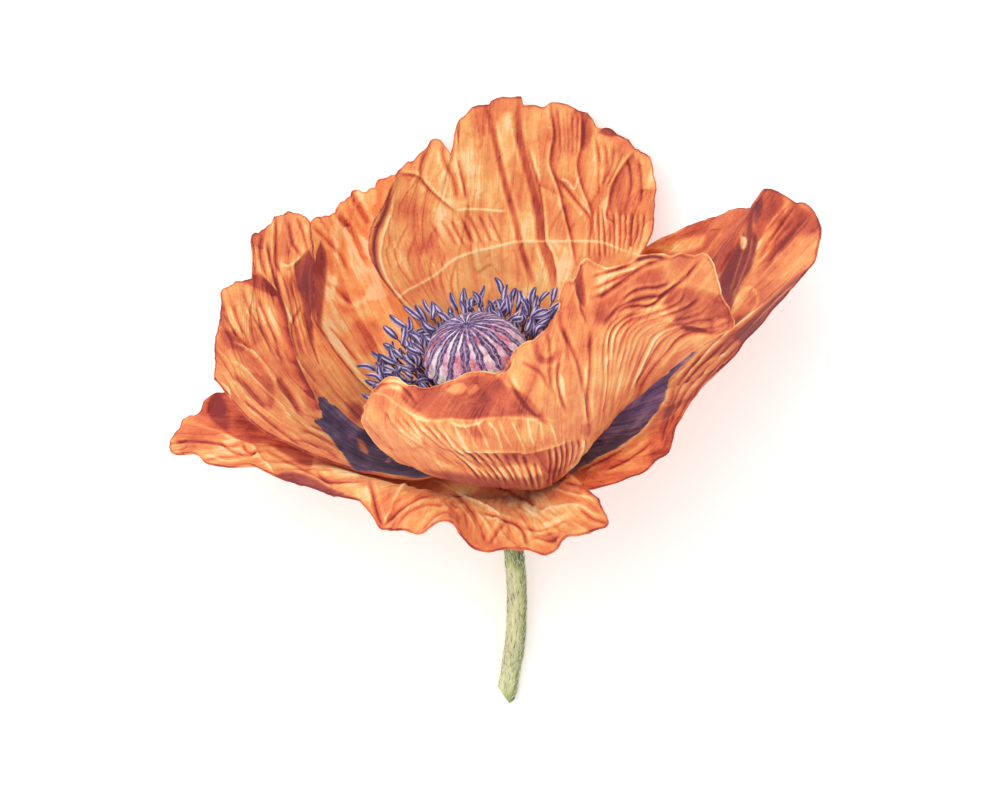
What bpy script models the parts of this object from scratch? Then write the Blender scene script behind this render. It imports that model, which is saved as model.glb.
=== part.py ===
"""Oriental poppy flower on a short cut stem, lying on its back petals and stem end.

Six crumpled petals in two whorls stand round a receptacle. A domed seed capsule and
three rings of stamens fill the cup. Lengths are written in millimetres and built in
metres. +Z is up from the surface, +X runs across the flower and +Y from the cut end of
the stem towards the back petal.
"""
import math

import bpy
from mathutils import Vector

MM = 0.001

# Where the flower axis starts, and how it leans.
RECEPTACLE = Vector((0.6, -7.6, 26.0))
AXIS_LEAN = math.radians(16.0)
AXIS_RISE = math.radians(35.0)

# Petals.
PETAL_THICKNESS = 0.5
PETAL_ROWS = 11
CLAW_RADIUS = 6.95
INNER_WHORL = 0.6
OUTER_WHORL = -1.2

# Stem and receptacle, measured along the stem.
STEM_RADIUS = 2.2
STEM_SIDES = 16
COLLAR_RADIUS = 6.5
COLLAR_TOP = 2.0

# Seed capsule with its stigma disc, heights measured along the flower axis.
STIGMA_RAYS = 17
SIDES_PER_RAY = 3
SCALLOP_DEPTH = 0.055
CAPSULE_PROFILE = [
    (4.0, 2.3), (5.4, 5.0), (7.2, 9.0), (8.3, 13.0), (8.5, 16.5), (8.1, 19.0), (9.2, 20.6),
    (11.5, 21.3), (11.8, 22.3), (10.6, 25.4), (8.0, 28.4), (4.4, 30.4), (1.4, 31.1),
]

# Stamen rings: number, first angle, and (radius, height) points from foot to anther tip.
STAMEN_RINGS = [
    (14, 0.0, [(4.80, 2.5), (6.9, 5.2), (9.6, 9.5), (12.6, 15.5), (14.6, 20.0), (16.9, 24.4)]),
    (14, 12.9, [(5.45, 2.5), (8.2, 5.2), (12.4, 9.5), (16.4, 15.5), (18.8, 19.8), (21.7, 24.0)]),
    (14, 0.0, [(6.10, 2.5), (9.8, 5.0), (15.2, 9.0), (20.0, 15.0), (22.8, 19.6), (26.0, 23.8)]),
]
FILAMENT_RADIUS = 0.28
ANTHER_RADIUS = 0.75

# Centre line of the stem from the receptacle to the cut end, with its thickness.
STEM_LINE = [
    ((1.30, -14.0, 21.4), 2.3), ((2.80, -22.0, 15.6), 2.2), ((4.20, -32.0, 9.6), 2.2),
    ((5.10, -41.0, 5.8), 2.2), ((5.30, -49.0, 3.8), 2.2), ((4.85, -57.0, 2.8), 2.2),
    ((3.75, -63.0, 2.3), 2.15), ((2.85, -66.4, 2.1), 2.1),
]
CUT_TIP = 3.9
CUT_TIP_X = 3.6

# Each petal: whorl height, claw angles from its left edge to its right edge, and rows of
# (x, y, z) points from left to right. The last row is the rim.
PETALS = {
    "petal_back": {
        "whorl": INNER_WHORL,
        "claw": (232.0, 322.0),
        "along": (0.0, 0.27, 0.62, 1.0),
        "rows": [
            [(-13, 11, 16), (-6, 13, 10), (3, 13.5, 8), (11, 12, 9.5), (18, 8, 16)],
            [(-28.6, 33, 15), (-19, 37, 8), (-5, 39, 4.5), (10, 40, 4), (23, 38, 7),
             (34.6, 34, 17)],
            [(-24, 48, 12), (-21.5, 53.5, 8), (-14, 60.2, 6), (-9, 56.5, 6), (-8.3, 63, 6),
             (-4.5, 67.3, 5.5), (-0.5, 69.5, 5), (6.5, 69.8, 5), (13, 68.4, 5),
             (20.5, 66.5, 6), (28, 61, 8), (34.7, 57.4, 11), (37.4, 50, 14), (37, 44, 15.5)],
        ],
    },
    "petal_back_left": {
        "whorl": OUTER_WHORL,
        "claw": (180.0, 262.0),
        "along": (0.0, 0.27, 0.66, 1.0),
        "rows": [
            [(-22, -8, 22), (-22, -4, 18), (-18.5, 0, 13), (-13, 5, 9.5), (-6, 8, 8)],
            [(-44, 13, 24), (-42, 20, 16), (-35, 28, 6), (-26, 33, 1.3), (-14, 34, 0.49),
             (-6, 31, 1.1)],
            [(-49, 20, 27), (-47, 28, 21), (-44, 36, 13), (-38.7, 42.2, 9), (-35.8, 44.5, 7.5),
             (-32.4, 48.3, 5.5), (-28.4, 48.6, 4.5), (-26.6, 50.8, 4), (-22, 52, 2.6),
             (-15, 50, 1.7), (-8, 46, 1.3)],
        ],
    },
    "petal_left": {
        "whorl": INNER_WHORL,
        "claw": (212.0, 135.0),
        "along": (0.0, 0.3, 0.68, 1.0),
        "rows": [
            [(-25, -1, 22.5), (-28, -6.5, 26), (-28.5, -12, 32), (-25, -16.5, 39),
             (-19, -18.5, 45)],
            [(-41.6, 19, 31), (-43.6, 21, 27.5), (-47.6, 20, 29), (-53, 14, 34), (-55, 5, 41),
             (-51, -8.5, 50)],
            [(-41.8, 35, 28), (-42.6, 41, 25), (-48, 43, 25), (-53, 39.5, 27), (-55.6, 35, 29),
             (-55.5, 29, 31), (-62.5, 25, 35), (-63.3, 17.5, 39.5), (-64, 10, 44),
             (-64.4, 4.5, 48)],
        ],
    },
    "petal_outer_front": {
        "whorl": OUTER_WHORL,
        "claw": (165.0, 75.0),
        "along": (0.0, 0.28, 0.62, 1.0),
        "rows": [
            [(-24.5, -12, 26.5), (-21.5, -19, 32), (-15, -22.3, 39), (-6.5, -22.5, 43),
             (3, -21.5, 44), (12.6, -17.4, 44)],
            [(-52, 0, 33), (-49, -9, 37.5), (-39, -15, 45), (-26, -19, 54), (-13, -22, 60),
             (1, -24, 63), (10.5, -24, 65), (17.9, -19.2, 66)],
            [(-60, 3, 31), (-66, 1, 30.5), (-70, -4, 32), (-75, -9.5, 36), (-73, -13, 39),
             (-66.5, -14.5, 42), (-60, -15.6, 45), (-50, -17.5, 50), (-37, -21.7, 57),
             (-27, -27.6, 64), (-24.5, -30, 66), (-16.7, -30.6, 71), (-11.4, -28.3, 74),
             (-4.5, -34, 78), (2.4, -34.4, 80), (11.5, -35.4, 82), (16, -31.6, 83),
             (22, -30, 84), (26.2, -28.2, 84), (23.3, -22.8, 78)],
        ],
    },
    "petal_inner_front": {
        "whorl": INNER_WHORL,
        "claw": (112.0, 18.0),
        "along": (0.0, 0.24, 0.46, 0.76, 1.0),
        "rows": [
            [(-4.8, -16.5, 45), (4.4, -15.5, 46), (12, -12, 44), (16.5, -7, 40), (19.4, -2, 34.5)],
            [(-19.5, -15.5, 59), (-10, -18.8, 65), (1, -20.4, 68), (10.8, -20.3, 68),
             (17.5, -16.3, 64), (25, -7.5, 57), (33, 1, 54)],
            [(-30.4, -4.5, 79), (-20, -6, 88), (-8, -6, 92), (4, -5, 92), (15, 2, 90),
             (25, 9, 87), (37, 14.5, 81), (46, 11, 71)],
            [(-29.6, -0.5, 80), (-26, 3.4, 83), (-22.4, 5, 85), (-15.6, 2.6, 87),
             (-7.2, 5.6, 88), (0, 6.2, 88.5), (3.7, 9.7, 89), (10.4, 14.7, 91),
             (15.5, 19.4, 92), (16.2, 24.6, 92), (20, 31.8, 91), (25.7, 30.1, 88.5),
             (32.1, 31.7, 87), (38.9, 33.1, 84), (48.2, 33.1, 79), (51.3, 27.2, 77),
             (54.3, 19.8, 74), (54.8, 16, 72)],
        ],
    },
    "petal_right": {
        "whorl": OUTER_WHORL,
        "claw": (-48.0, 40.0),
        "along": (0.0, 0.27, 0.62, 1.0),
        "rows": [
            [(12.5, 6.5, 5.5), (19.5, 4, 13), (23, 0, 23), (22.5, -7, 33), (16.2, -14.8, 40.8)],
            [(20, 32, 0.55), (33, 29, 5), (45, 23, 20), (50, 14, 36), (46, 4, 49),
             (36, -7, 58), (15.3, -20.5, 54)],
            [(27, 36, 0.75), (36, 35, 3), (45, 40.6, 10), (55.4, 44, 20), (60, 44.6, 26),
             (62.3, 48.4, 32), (66, 47.3, 36), (71.9, 44.4, 40), (74.9, 38.1, 46),
             (74.1, 32.3, 50), (70, 26.5, 54), (64.4, 20.4, 57), (57.8, 13.8, 60),
             (48.1, 3.7, 64), (41.3, -6.9, 67), (38.4, -13.5, 68), (32.7, -18.1, 67),
             (20.8, -20.6, 60)],
        ],
    },
}

PETAL_COLOURS = {
    "petal_back": (0.80, 0.26, 0.08),
    "petal_back_left": (0.78, 0.24, 0.08),
    "petal_left": (0.79, 0.25, 0.08),
    "petal_outer_front": (0.75, 0.22, 0.08),
    "petal_inner_front": (0.77, 0.23, 0.08),
    "petal_right": (0.70, 0.19, 0.07),
}
STEM_COLOUR = (0.33, 0.40, 0.18)
CAPSULE_COLOUR = (0.40, 0.28, 0.38)
STAMEN_COLOUR = (0.10, 0.08, 0.19)


def flower_axes():
    """Return the side, front and axis directions of the flower."""
    lean = math.sin(AXIS_LEAN), math.cos(AXIS_LEAN)
    axis = Vector((-math.cos(AXIS_RISE) * lean[0], math.cos(AXIS_RISE) * lean[1],
                   math.sin(AXIS_RISE)))
    side = Vector((lean[1], lean[0], 0.0))
    return side, side.cross(axis), axis


SIDE, FRONT, AXIS = flower_axes()


def round_axis(angle, radius, height):
    """Return the point at an angle, radius and height about the flower axis."""
    turn = math.radians(angle)
    across = math.cos(turn) * SIDE + math.sin(turn) * FRONT
    return RECEPTACLE + height * AXIS + radius * across


def spline(points, knots, value):
    """Return the point of the smooth curve through the points at a knot value."""
    last = len(points) - 2
    span = last
    for index in range(last + 1):
        if value < knots[index + 1]:
            span = index
            break
    width = knots[span + 1] - knots[span]
    step = (value - knots[span]) / width
    start = slope(points, knots, span) * width
    end = slope(points, knots, span + 1) * width
    return (
        points[span] * (2 * step ** 3 - 3 * step ** 2 + 1)
        + start * (step ** 3 - 2 * step ** 2 + step)
        + points[span + 1] * (3 * step ** 2 - 2 * step ** 3)
        + end * (step ** 3 - step ** 2)
    )


def slope(points, knots, index):
    """Return the direction of the smooth curve at one of its points."""
    before = max(index - 1, 0)
    after = min(index + 1, len(points) - 1)
    return (points[after] - points[before]) / (knots[after] - knots[before])


def chord_knots(points):
    """Return knots from 0 to 1 spaced by the distance between the points."""
    knots = [0.0]
    for before, after in zip(points, points[1:]):
        knots.append(knots[-1] + (after - before).length)
    return [knot / knots[-1] for knot in knots]


def petal_columns(rim):
    """Return the column places of a petal: each rim point and one between each pair."""
    knots = chord_knots(rim)
    columns = [knots[0]]
    for before, after in zip(knots, knots[1:]):
        if after - before > 0.045:
            columns.append((before + after) / 2)
        columns.append(after)
    return columns


def petal_grid(spec):
    """Return the rows of points of a petal from its claw to its rim."""
    start, end = spec["claw"]
    claw = [round_axis(start + (end - start) * part / 6, CLAW_RADIUS, spec["whorl"])
            for part in range(7)]
    rows = [claw] + [[Vector(point) for point in row] for row in spec["rows"]]
    columns = petal_columns(rows[-1])
    knots = [chord_knots(row) for row in rows]
    ribs = [[spline(row, knot, column) for row, knot in zip(rows, knots)]
            for column in columns]
    return [[spline(rib, spec["along"], row / (PETAL_ROWS - 1)) for rib in ribs]
            for row in range(PETAL_ROWS)]


def make_material(name, colour, roughness):
    """Return a Principled material of one colour."""
    material = bpy.data.materials.new(name + "_material")
    material.use_nodes = True
    shader = material.node_tree.nodes["Principled BSDF"]
    shader.inputs["Base Color"].default_value = (*colour, 1.0)
    shader.inputs["Roughness"].default_value = roughness
    return material


def add_mesh(name, points, faces, material, collection):
    """Add a mesh object from points in millimetres and return it."""
    mesh = bpy.data.meshes.new(name)
    mesh.from_pydata([Vector(point) * MM for point in points], [], faces)
    mesh.update()
    mesh.materials.append(material)
    thing = bpy.data.objects.new(name, mesh)
    collection.objects.link(thing)
    return thing


def grid_faces(rows, columns, closed):
    """Return the quads of a grid, wrapped round when it is closed."""
    faces = []
    spans = columns if closed else columns - 1
    for row in range(rows - 1):
        for column in range(spans):
            beside = (column + 1) % columns
            faces.append((
                row * columns + column,
                row * columns + beside,
                (row + 1) * columns + beside,
                (row + 1) * columns + column,
            ))
    return faces


def add_petal(name, spec, collection):
    """Add one petal as a thin closed shell."""
    grid = petal_grid(spec)
    columns = len(grid[0])
    points = [point for row in grid for point in row]
    material = make_material(name, PETAL_COLOURS[name], 0.6)
    petal = add_mesh(name, points, grid_faces(len(grid), columns, False), material, collection)
    shell = petal.modifiers.new("thickness", "SOLIDIFY")
    shell.thickness = PETAL_THICKNESS * MM
    shell.offset = 0.0
    return petal


def add_rings(name, rings, material, collection):
    """Add a closed body from rings of points, with flat ends."""
    columns = len(rings[0])
    points = [point for ring in rings for point in ring]
    faces = grid_faces(len(rings), columns, True)
    faces.append(tuple(reversed(range(columns))))
    first = (len(rings) - 1) * columns
    faces.append(tuple(range(first, first + columns)))
    return add_mesh(name, points, faces, material, collection)


def ring_about(centre, direction, radius, sides):
    """Return a ring of points about a centre, square to a direction."""
    across = direction.cross(Vector((1.0, 0.0, 0.0))).normalized()
    along = direction.cross(across).normalized()
    ring = []
    for side in range(sides):
        turn = 2 * math.pi * side / sides
        ring.append(centre + radius * (math.cos(turn) * across + math.sin(turn) * along))
    return ring


def add_stem(collection):
    """Add the stem with the receptacle that carries the petals."""
    rings = []
    profile = [(6.1, COLLAR_TOP), (COLLAR_RADIUS, 1.6), (COLLAR_RADIUS, -1.8), (5.6, -3.2),
               (3.4, -4.4), (2.7, -6.0)]
    for radius, height in profile:
        rings.append(ring_about(RECEPTACLE + height * AXIS, -AXIS, radius, STEM_SIDES))
    line = [Vector(point) for point, _ in STEM_LINE]
    for index, (_, radius) in enumerate(STEM_LINE):
        before = line[max(index - 1, 0)]
        after = line[min(index + 1, len(line) - 1)]
        direction = (after - before).normalized()
        rings.append(ring_about(line[index], direction, radius, STEM_SIDES))
    rings[-1] = slant_cut(rings[-1], line[-1])
    material = make_material("stem", STEM_COLOUR, 0.6)
    return add_rings("stem", rings, material, collection)


def slant_cut(ring, centre):
    """Return the last ring drawn out to a tip, as an oblique cut leaves it."""
    cut = []
    for point in ring:
        reach = 1.0 - abs(point.x - CUT_TIP_X) / (1.6 * STEM_RADIUS)
        cut.append(Vector((point.x, centre.y - CUT_TIP * max(reach, 0.0), point.z)))
    return cut


def add_capsule(collection):
    """Add the ovary and the domed stigma disc that closes it."""
    sides = STIGMA_RAYS * SIDES_PER_RAY
    rings = []
    for radius, height in CAPSULE_PROFILE:
        ring = []
        scallop = SCALLOP_DEPTH if height > 21.0 else 0.0
        for side in range(sides):
            wave = math.cos(2 * math.pi * side / SIDES_PER_RAY)
            spread = radius * (1.0 + scallop * wave)
            ring.append(round_axis(360.0 * side / sides, spread, height))
        rings.append(ring)
    rings = [list(reversed(ring)) for ring in rings]
    material = make_material("seed_capsule", CAPSULE_COLOUR, 0.55)
    return add_rings("seed_capsule", rings, material, collection)


def add_stamen(name, angle, path, collection):
    """Add one stamen: a thin filament that swells into its anther."""
    curve = bpy.data.curves.new(name, "CURVE")
    curve.dimensions = "3D"
    curve.bevel_depth = FILAMENT_RADIUS * MM
    curve.bevel_resolution = 1
    curve.use_fill_caps = True
    sections = [(point, 1.0) for point in path[:-1]]
    foot, tip = Vector(path[-2]), Vector(path[-1])
    for part, swell in ((0.08, 2.1), (0.45, ANTHER_RADIUS / FILAMENT_RADIUS), (0.85, 2.2)):
        sections.append((tuple(foot.lerp(tip, part)), swell))
    sections.append((tuple(path[-1]), 0.9))
    strand = curve.splines.new("POLY")
    strand.points.add(len(sections) - 1)
    for place, ((radius, height), swell) in zip(strand.points, sections):
        position = round_axis(angle, radius, height) * MM
        place.co = (*position, 1.0)
        place.radius = swell
    curve.materials.append(make_material(name, STAMEN_COLOUR, 0.6))
    stamen = bpy.data.objects.new(name, curve)
    collection.objects.link(stamen)
    return stamen


def add_stamens(collection):
    """Add the three rings of stamens."""
    number = 1
    for count, first, path in STAMEN_RINGS:
        for place in range(count):
            angle = first + 360.0 * place / count
            add_stamen(f"stamen_{number:02d}", angle, path, collection)
            number += 1


def main():
    """Build the flower in a new collection."""
    for thing in list(bpy.data.objects):
        bpy.data.objects.remove(thing)
    collection = bpy.data.collections.new("poppy_flower")
    bpy.context.scene.collection.children.link(collection)
    for name, spec in PETALS.items():
        add_petal(name, spec, collection)
    add_stem(collection)
    add_capsule(collection)
    add_stamens(collection)


main()
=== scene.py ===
"""Oriental poppy lying on a pale table, seen from straight above.

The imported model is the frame. Every piece here stands for a solid of that frame or adds
the fine growth that solids can't hold: crumpled petals, a rayed seed capsule, a crowd of
stamens and a bristly stem. Lengths are written in millimetres and built in metres.
"""
import logging
import math
from dataclasses import dataclass, field, replace
from enum import Enum
from typing import Any, Iterable, Optional, Sequence, Union

import bpy
import numpy as np
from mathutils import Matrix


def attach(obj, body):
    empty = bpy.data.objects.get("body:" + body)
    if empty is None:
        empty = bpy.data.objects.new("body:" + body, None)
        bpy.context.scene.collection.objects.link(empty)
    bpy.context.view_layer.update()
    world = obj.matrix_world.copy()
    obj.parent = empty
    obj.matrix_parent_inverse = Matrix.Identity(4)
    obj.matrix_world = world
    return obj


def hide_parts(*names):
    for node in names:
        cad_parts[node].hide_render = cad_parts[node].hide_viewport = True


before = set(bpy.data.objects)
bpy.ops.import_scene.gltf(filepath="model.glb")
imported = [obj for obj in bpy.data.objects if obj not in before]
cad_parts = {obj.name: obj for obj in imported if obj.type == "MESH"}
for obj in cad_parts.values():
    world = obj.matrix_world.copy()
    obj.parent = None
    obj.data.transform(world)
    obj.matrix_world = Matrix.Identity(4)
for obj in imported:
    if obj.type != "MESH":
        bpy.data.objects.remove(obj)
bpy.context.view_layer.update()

MM = 0.001
BODY = "root"
TABLE_GAP = 0.02  # how far above the table the lowest points stay, in millimetres
TINY = 1e-9  # keeps a length of nothing from dividing
RELAX_ROUNDS = 120  # rounds of easing that part a petal's ribs at its sharp notches
LATTICE = 64  # size of the repeating noise lattice

Array = np.ndarray
Point2 = tuple[float, float]
Point3 = tuple[float, float, float]
Colour = tuple[float, float, float]

log = logging.getLogger("poppy")


# --- flower axis

RECEPTACLE = np.array((0.6, -7.6, 26.0))
AXIS_LEAN = math.radians(16.0)
AXIS_RISE = math.radians(35.0)
CLAW_RADIUS = 6.95


def flower_axes() -> tuple[Array, Array, Array]:
    """Return the side, front and axis directions of the flower."""
    axis = np.array((
        -math.cos(AXIS_RISE) * math.sin(AXIS_LEAN),
        math.cos(AXIS_RISE) * math.cos(AXIS_LEAN),
        math.sin(AXIS_RISE),
    ))
    side = np.array((math.cos(AXIS_LEAN), math.sin(AXIS_LEAN), 0.0))
    return side, np.cross(side, axis), axis


SIDE, FRONT, AXIS = flower_axes()


def round_axis(angle: Any, radius: Any, height: Any) -> Array:
    """Return points round the flower axis.

    Args:
        angle: Angle from the side direction, in degrees.
        radius: Distance from the axis, in millimetres.
        height: Height along the axis above the receptacle, in millimetres.

    Returns:
        The points, in millimetres, with x, y and z last.
    """
    turn = np.radians(np.asarray(angle, float))[..., None]
    out = np.asarray(radius, float)[..., None] * (np.cos(turn) * SIDE + np.sin(turn) * FRONT)
    return RECEPTACLE + np.asarray(height, float)[..., None] * AXIS + out


# --- curves and noise


def ease(low: float, high: float, value: Any) -> Array:
    """Return a smooth step from 0 at low to 1 at high."""
    part = np.clip((np.asarray(value, float) - low) / (high - low), 0.0, 1.0)
    return part * part * (3.0 - 2.0 * part)


def chord_knots(points: Array) -> Array:
    """Return knots from 0 to 1 spaced by the distance between the points."""
    steps = np.linalg.norm(np.diff(points, axis=0), axis=1)
    knots = np.concatenate(([0.0], np.cumsum(steps)))
    return knots / knots[-1]


def smooth_curve(points: Array, knots: Array, values: Array) -> Array:
    """Return places on the smooth curve through the points.

    Args:
        points: Control points along the first axis.
        knots: One growing number for each control point.
        values: Where on the knots to read the curve.

    Returns:
        One point for each value.
    """
    extra = (1,) * (points.ndim - 1)
    slopes = np.empty_like(points)
    slopes[1:-1] = (points[2:] - points[:-2]) / (knots[2:] - knots[:-2]).reshape(-1, *extra)
    slopes[0] = (points[1] - points[0]) / (knots[1] - knots[0])
    slopes[-1] = (points[-1] - points[-2]) / (knots[-1] - knots[-2])
    span = np.clip(np.searchsorted(knots, values, side="right") - 1, 0, len(knots) - 2)
    width = (knots[span + 1] - knots[span]).reshape(-1, *extra)
    step = (values - knots[span]).reshape(-1, *extra) / width
    return (
        points[span] * (2 * step**3 - 3 * step**2 + 1)
        + slopes[span] * width * (step**3 - 2 * step**2 + step)
        + points[span + 1] * (3 * step**2 - 2 * step**3)
        + slopes[span + 1] * width * (step**3 - step**2)
    )


def refine(points: Sequence[Sequence[float]], parts: int) -> Array:
    """Return the smooth curve through the points, cut into that many parts a span.

    Args:
        points: Control points.
        parts: How many parts each span is cut into.

    Returns:
        The points of the curve.
    """
    control = np.array(points, float)
    if len(control) < 3:
        return control
    knots = chord_knots(control)
    places = np.concatenate([
        np.linspace(before, after, parts, endpoint=False)
        for before, after in zip(knots, knots[1:])
    ] + [[1.0]])
    return smooth_curve(control, knots, places)


class Crumple:
    """Seeded gradient noise over two coordinates."""

    def __init__(self, seed: int) -> None:
        """Fill the lattice of directions from a seed."""
        turns = np.random.default_rng(seed).uniform(0.0, 2.0 * math.pi, (LATTICE, LATTICE))
        self.slope_x = np.cos(turns)
        self.slope_y = np.sin(turns)

    def wave(self, x: Array, y: Array) -> Array:
        """Return smooth noise between about -1 and 1.

        Args:
            x: First coordinate.
            y: Second coordinate.

        Returns:
            The noise at each point.
        """
        column = np.floor(x).astype(int)
        row = np.floor(y).astype(int)
        part_x, part_y = x - column, y - row
        blend_x = part_x**3 * (part_x * (part_x * 6 - 15) + 10)
        blend_y = part_y**3 * (part_y * (part_y * 6 - 15) + 10)
        corners = []
        for right in (0, 1):
            for up in (0, 1):
                place = (column + right) % LATTICE, (row + up) % LATTICE
                corners.append(
                    self.slope_x[place] * (part_x - right) + self.slope_y[place] * (part_y - up)
                )
        left = corners[0] + (corners[1] - corners[0]) * blend_y
        far = corners[2] + (corners[3] - corners[2]) * blend_y
        return (left + (far - left) * blend_x) * 1.5

    def layers(self, x: Array, y: Array, count: int) -> Array:
        """Return several octaves of the noise added together.

        Args:
            x: First coordinate.
            y: Second coordinate.
            count: How many octaves.

        Returns:
            Their sum at each point.
        """
        total = np.zeros(np.broadcast(x, y).shape)
        for octave in range(count):
            scale = 2.0**octave
            total += self.wave(x * scale + 7.3 * octave, y * scale + 3.1 * octave) / scale
        return total

    def facets(self, x: Array, y: Array) -> tuple[Array, Array, Array]:
        """Cut the sheet into flat tilted facets, as in crushed tissue.

        Args:
            x: First coordinate, one facet a unit.
            y: Second coordinate, one facet a unit.

        Returns:
            Height of the tilted facet, its own number from -1 to 1, and distance from
            the crease round it.
        """
        column, row = np.floor(x).astype(int), np.floor(y).astype(int)
        best, second = np.full(x.shape, 9.0), np.full(x.shape, 9.0)
        tilt, number = np.zeros(x.shape), np.zeros(x.shape)
        for right in (-1, 0, 1):
            for up in (-1, 0, 1):
                place = (column + right) % LATTICE, (row + up) % LATTICE
                gap_x = column + right + 0.5 + 0.45 * self.slope_x[place] - x
                gap_y = row + up + 0.5 + 0.45 * self.slope_y[place] - y
                far = np.hypot(gap_x, gap_y)
                closer = far < best
                second = np.where(closer, best, np.minimum(second, far))
                slope = self.slope_y[place] * gap_x + self.slope_x[place] * gap_y
                tilt = np.where(closer, slope, tilt)
                number = np.where(closer, self.slope_x[place[1], place[0]], number)
                best = np.where(closer, far, best)
        return tilt, number, second - best

    def ridges(self, x: Array, y: Array) -> Array:
        """Return noise with sharp crests, from 0 in the hollows to 1 on the crests."""
        return 1.0 - np.minimum(np.abs(self.wave(x, y)) * 2.0, 1.0)


# --- marks on a petal


class Profile(Enum):
    """How a fold stands across its line."""

    LINE = "a ridge or a groove, the same on both sides"
    LEFT_UP = "a pleat whose left side stands above its right side"
    RIGHT_UP = "a pleat whose right side stands above its left side"


@dataclass(frozen=True)
class Fold:
    """A crease, pleat or rib, drawn in millimetres as it is seen from above, with its painted shade and
    painted highlights.

    Attributes:
        points: The line, from its start to its end.
        width: Half of its width.
        tone: How much it lightens the petal as a painted highlight, or darkens it as painted shade when it
            is negative.
        lift: How far it stands out of the petal, in millimetres.
        profile: How it stands across its line.
        plum_shade: How much purple-red painted shade it adds.
    """

    points: Sequence[Point2]
    width: float = 0.4
    tone: float = -0.4
    lift: float = 0.0
    profile: Profile = Profile.LINE
    plum_shade: float = 0.0

    def paint(self, sheet: "Relief") -> None:
        """Add the fold to the relief of a petal.

        Args:
            sheet: The relief of the petal.
        """
        reach = 6.0 * self.width + 1.0
        distance, offset, place, near = sheet.trace(refine(self.points, 5), reach)
        if not near.any():
            return
        fade = ease(0.0, 0.14, place) * ease(0.0, 0.14, 1.0 - place) * 0.8 + 0.2
        if self.profile is Profile.LINE:
            # A dark line paints shade in a crease; a light one paints a highlight on a crest.
            body = np.exp(-((distance / self.width) ** 2)) * fade
            core = np.exp(-((distance / max(0.40 * self.width, 0.24)) ** 2)) * fade
            if self.width > 0.65:
                core = ease(0.8 * self.width + 0.14, 0.8 * self.width - 0.14, distance) * fade * 0.8
            # A painted highlight beside a dark line, as if lit from that side.
            painted_highlight = np.exp(-(((distance - 1.2 * self.width - 0.4) / 0.34) ** 2)) * fade
            tint = (core * 1.05 + body * 0.45) * self.tone
            tint = tint + painted_highlight * max(-self.tone, 0.0) * 0.50
            sheet.add(near, body * self.lift, tint, body * self.plum_shade)
            return
        rise = offset if self.profile is Profile.LEFT_UP else -offset
        high = np.exp(-np.maximum(rise, 0.0) / (2.6 * self.width))
        low = np.exp(-((rise / (0.5 * self.width)) ** 2))
        step = np.where(rise > 0, high, low) * fade
        # Painted shadow at the foot of the raised side, and a painted highlight on its edge.
        dark = np.where(
            rise > 0,
            np.exp(-((rise / 0.22) ** 2)),
            0.6 * np.exp(-((rise / 0.28) ** 2)) + 0.4 * np.exp(-((rise / (1.6 * self.width)) ** 2)),
        ) * fade
        painted_highlight = np.exp(-(((rise - 0.65) / 0.30) ** 2)) * fade
        tint = dark * self.tone * 1.4 + painted_highlight * max(-self.tone, 0.0) * 0.6
        sheet.add(near, step * self.lift, tint, dark * self.plum_shade)


@dataclass(frozen=True)
class Fan:
    """A family of folds that spread between two boundary lines.

    Attributes:
        first: The first line.
        last: The last line, with as many points.
        count: How many folds there are.
        width: Half of the width of a fold.
        tone: How much each lightens the petal as a painted highlight, or darkens it as painted shade when
            it is negative.
        lift: How far each stands out of the petal, in millimetres.
        seed: Seed of their small irregularities.
    """

    first: Sequence[Point2]
    last: Sequence[Point2]
    count: int
    width: float = 0.3
    tone: float = -0.3
    lift: float = 0.0
    seed: int = 1

    def paint(self, sheet: "Relief") -> None:
        """Add each fold of the family.

        Args:
            sheet: The relief of the petal.
        """
        start, end = np.array(self.first, float), np.array(self.last, float)
        dice = np.random.default_rng(self.seed)
        gap = np.linalg.norm(start - end, axis=1).mean() / max(self.count - 1, 1)
        for number in range(self.count):
            part = number / max(self.count - 1, 1)
            line = start + (end - start) * part + dice.normal(0.0, 0.10 * gap, start.shape)
            strength = dice.uniform(0.55, 1.15)
            trim = dice.uniform(0.0, 0.12)
            line = refine(line, 4)
            line = line[int(trim * len(line)):]
            Fold([tuple(point) for point in line], self.width * dice.uniform(0.8, 1.25),
                 self.tone * strength, self.lift * strength).paint(sheet)


@dataclass(frozen=True)
class Patch:
    """A soft-edged area, outlined in millimetres as it is seen from above; most are painted shade or
    painted light, some the petal's own colour.

    Attributes:
        outline: The points round it.
        tone: How much it lightens the petal, or darkens it when it is negative; mostly painted light and
            shade.
        blur: How wide its soft edge is, in millimetres.
        lift: How far it stands out of the petal, in millimetres.
        plum_shade: How much purple-red painted shade it adds.
        blotch: How much of the dark blotch it has.
    """

    outline: Sequence[Point2]
    tone: float = 0.0
    blur: float = 1.5
    lift: float = 0.0
    plum_shade: float = 0.0
    blotch: float = 0.0

    def paint(self, sheet: "Relief") -> None:
        """Add the area to the relief of a petal.

        Args:
            sheet: The relief of the petal.
        """
        loop = list(self.outline) + [self.outline[0]]
        inside = sheet.inside(loop, 0.6 * self.blur)
        # The tone and the purple-red tint paint shade and light over the area; the blotch is the petal's
        # own colour.
        sheet.add(slice(None), inside * self.lift, 1.25 * inside * self.tone, inside * self.plum_shade,
                  inside * self.blotch)


Mark = Union[Fold, Fan, Patch]


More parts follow.
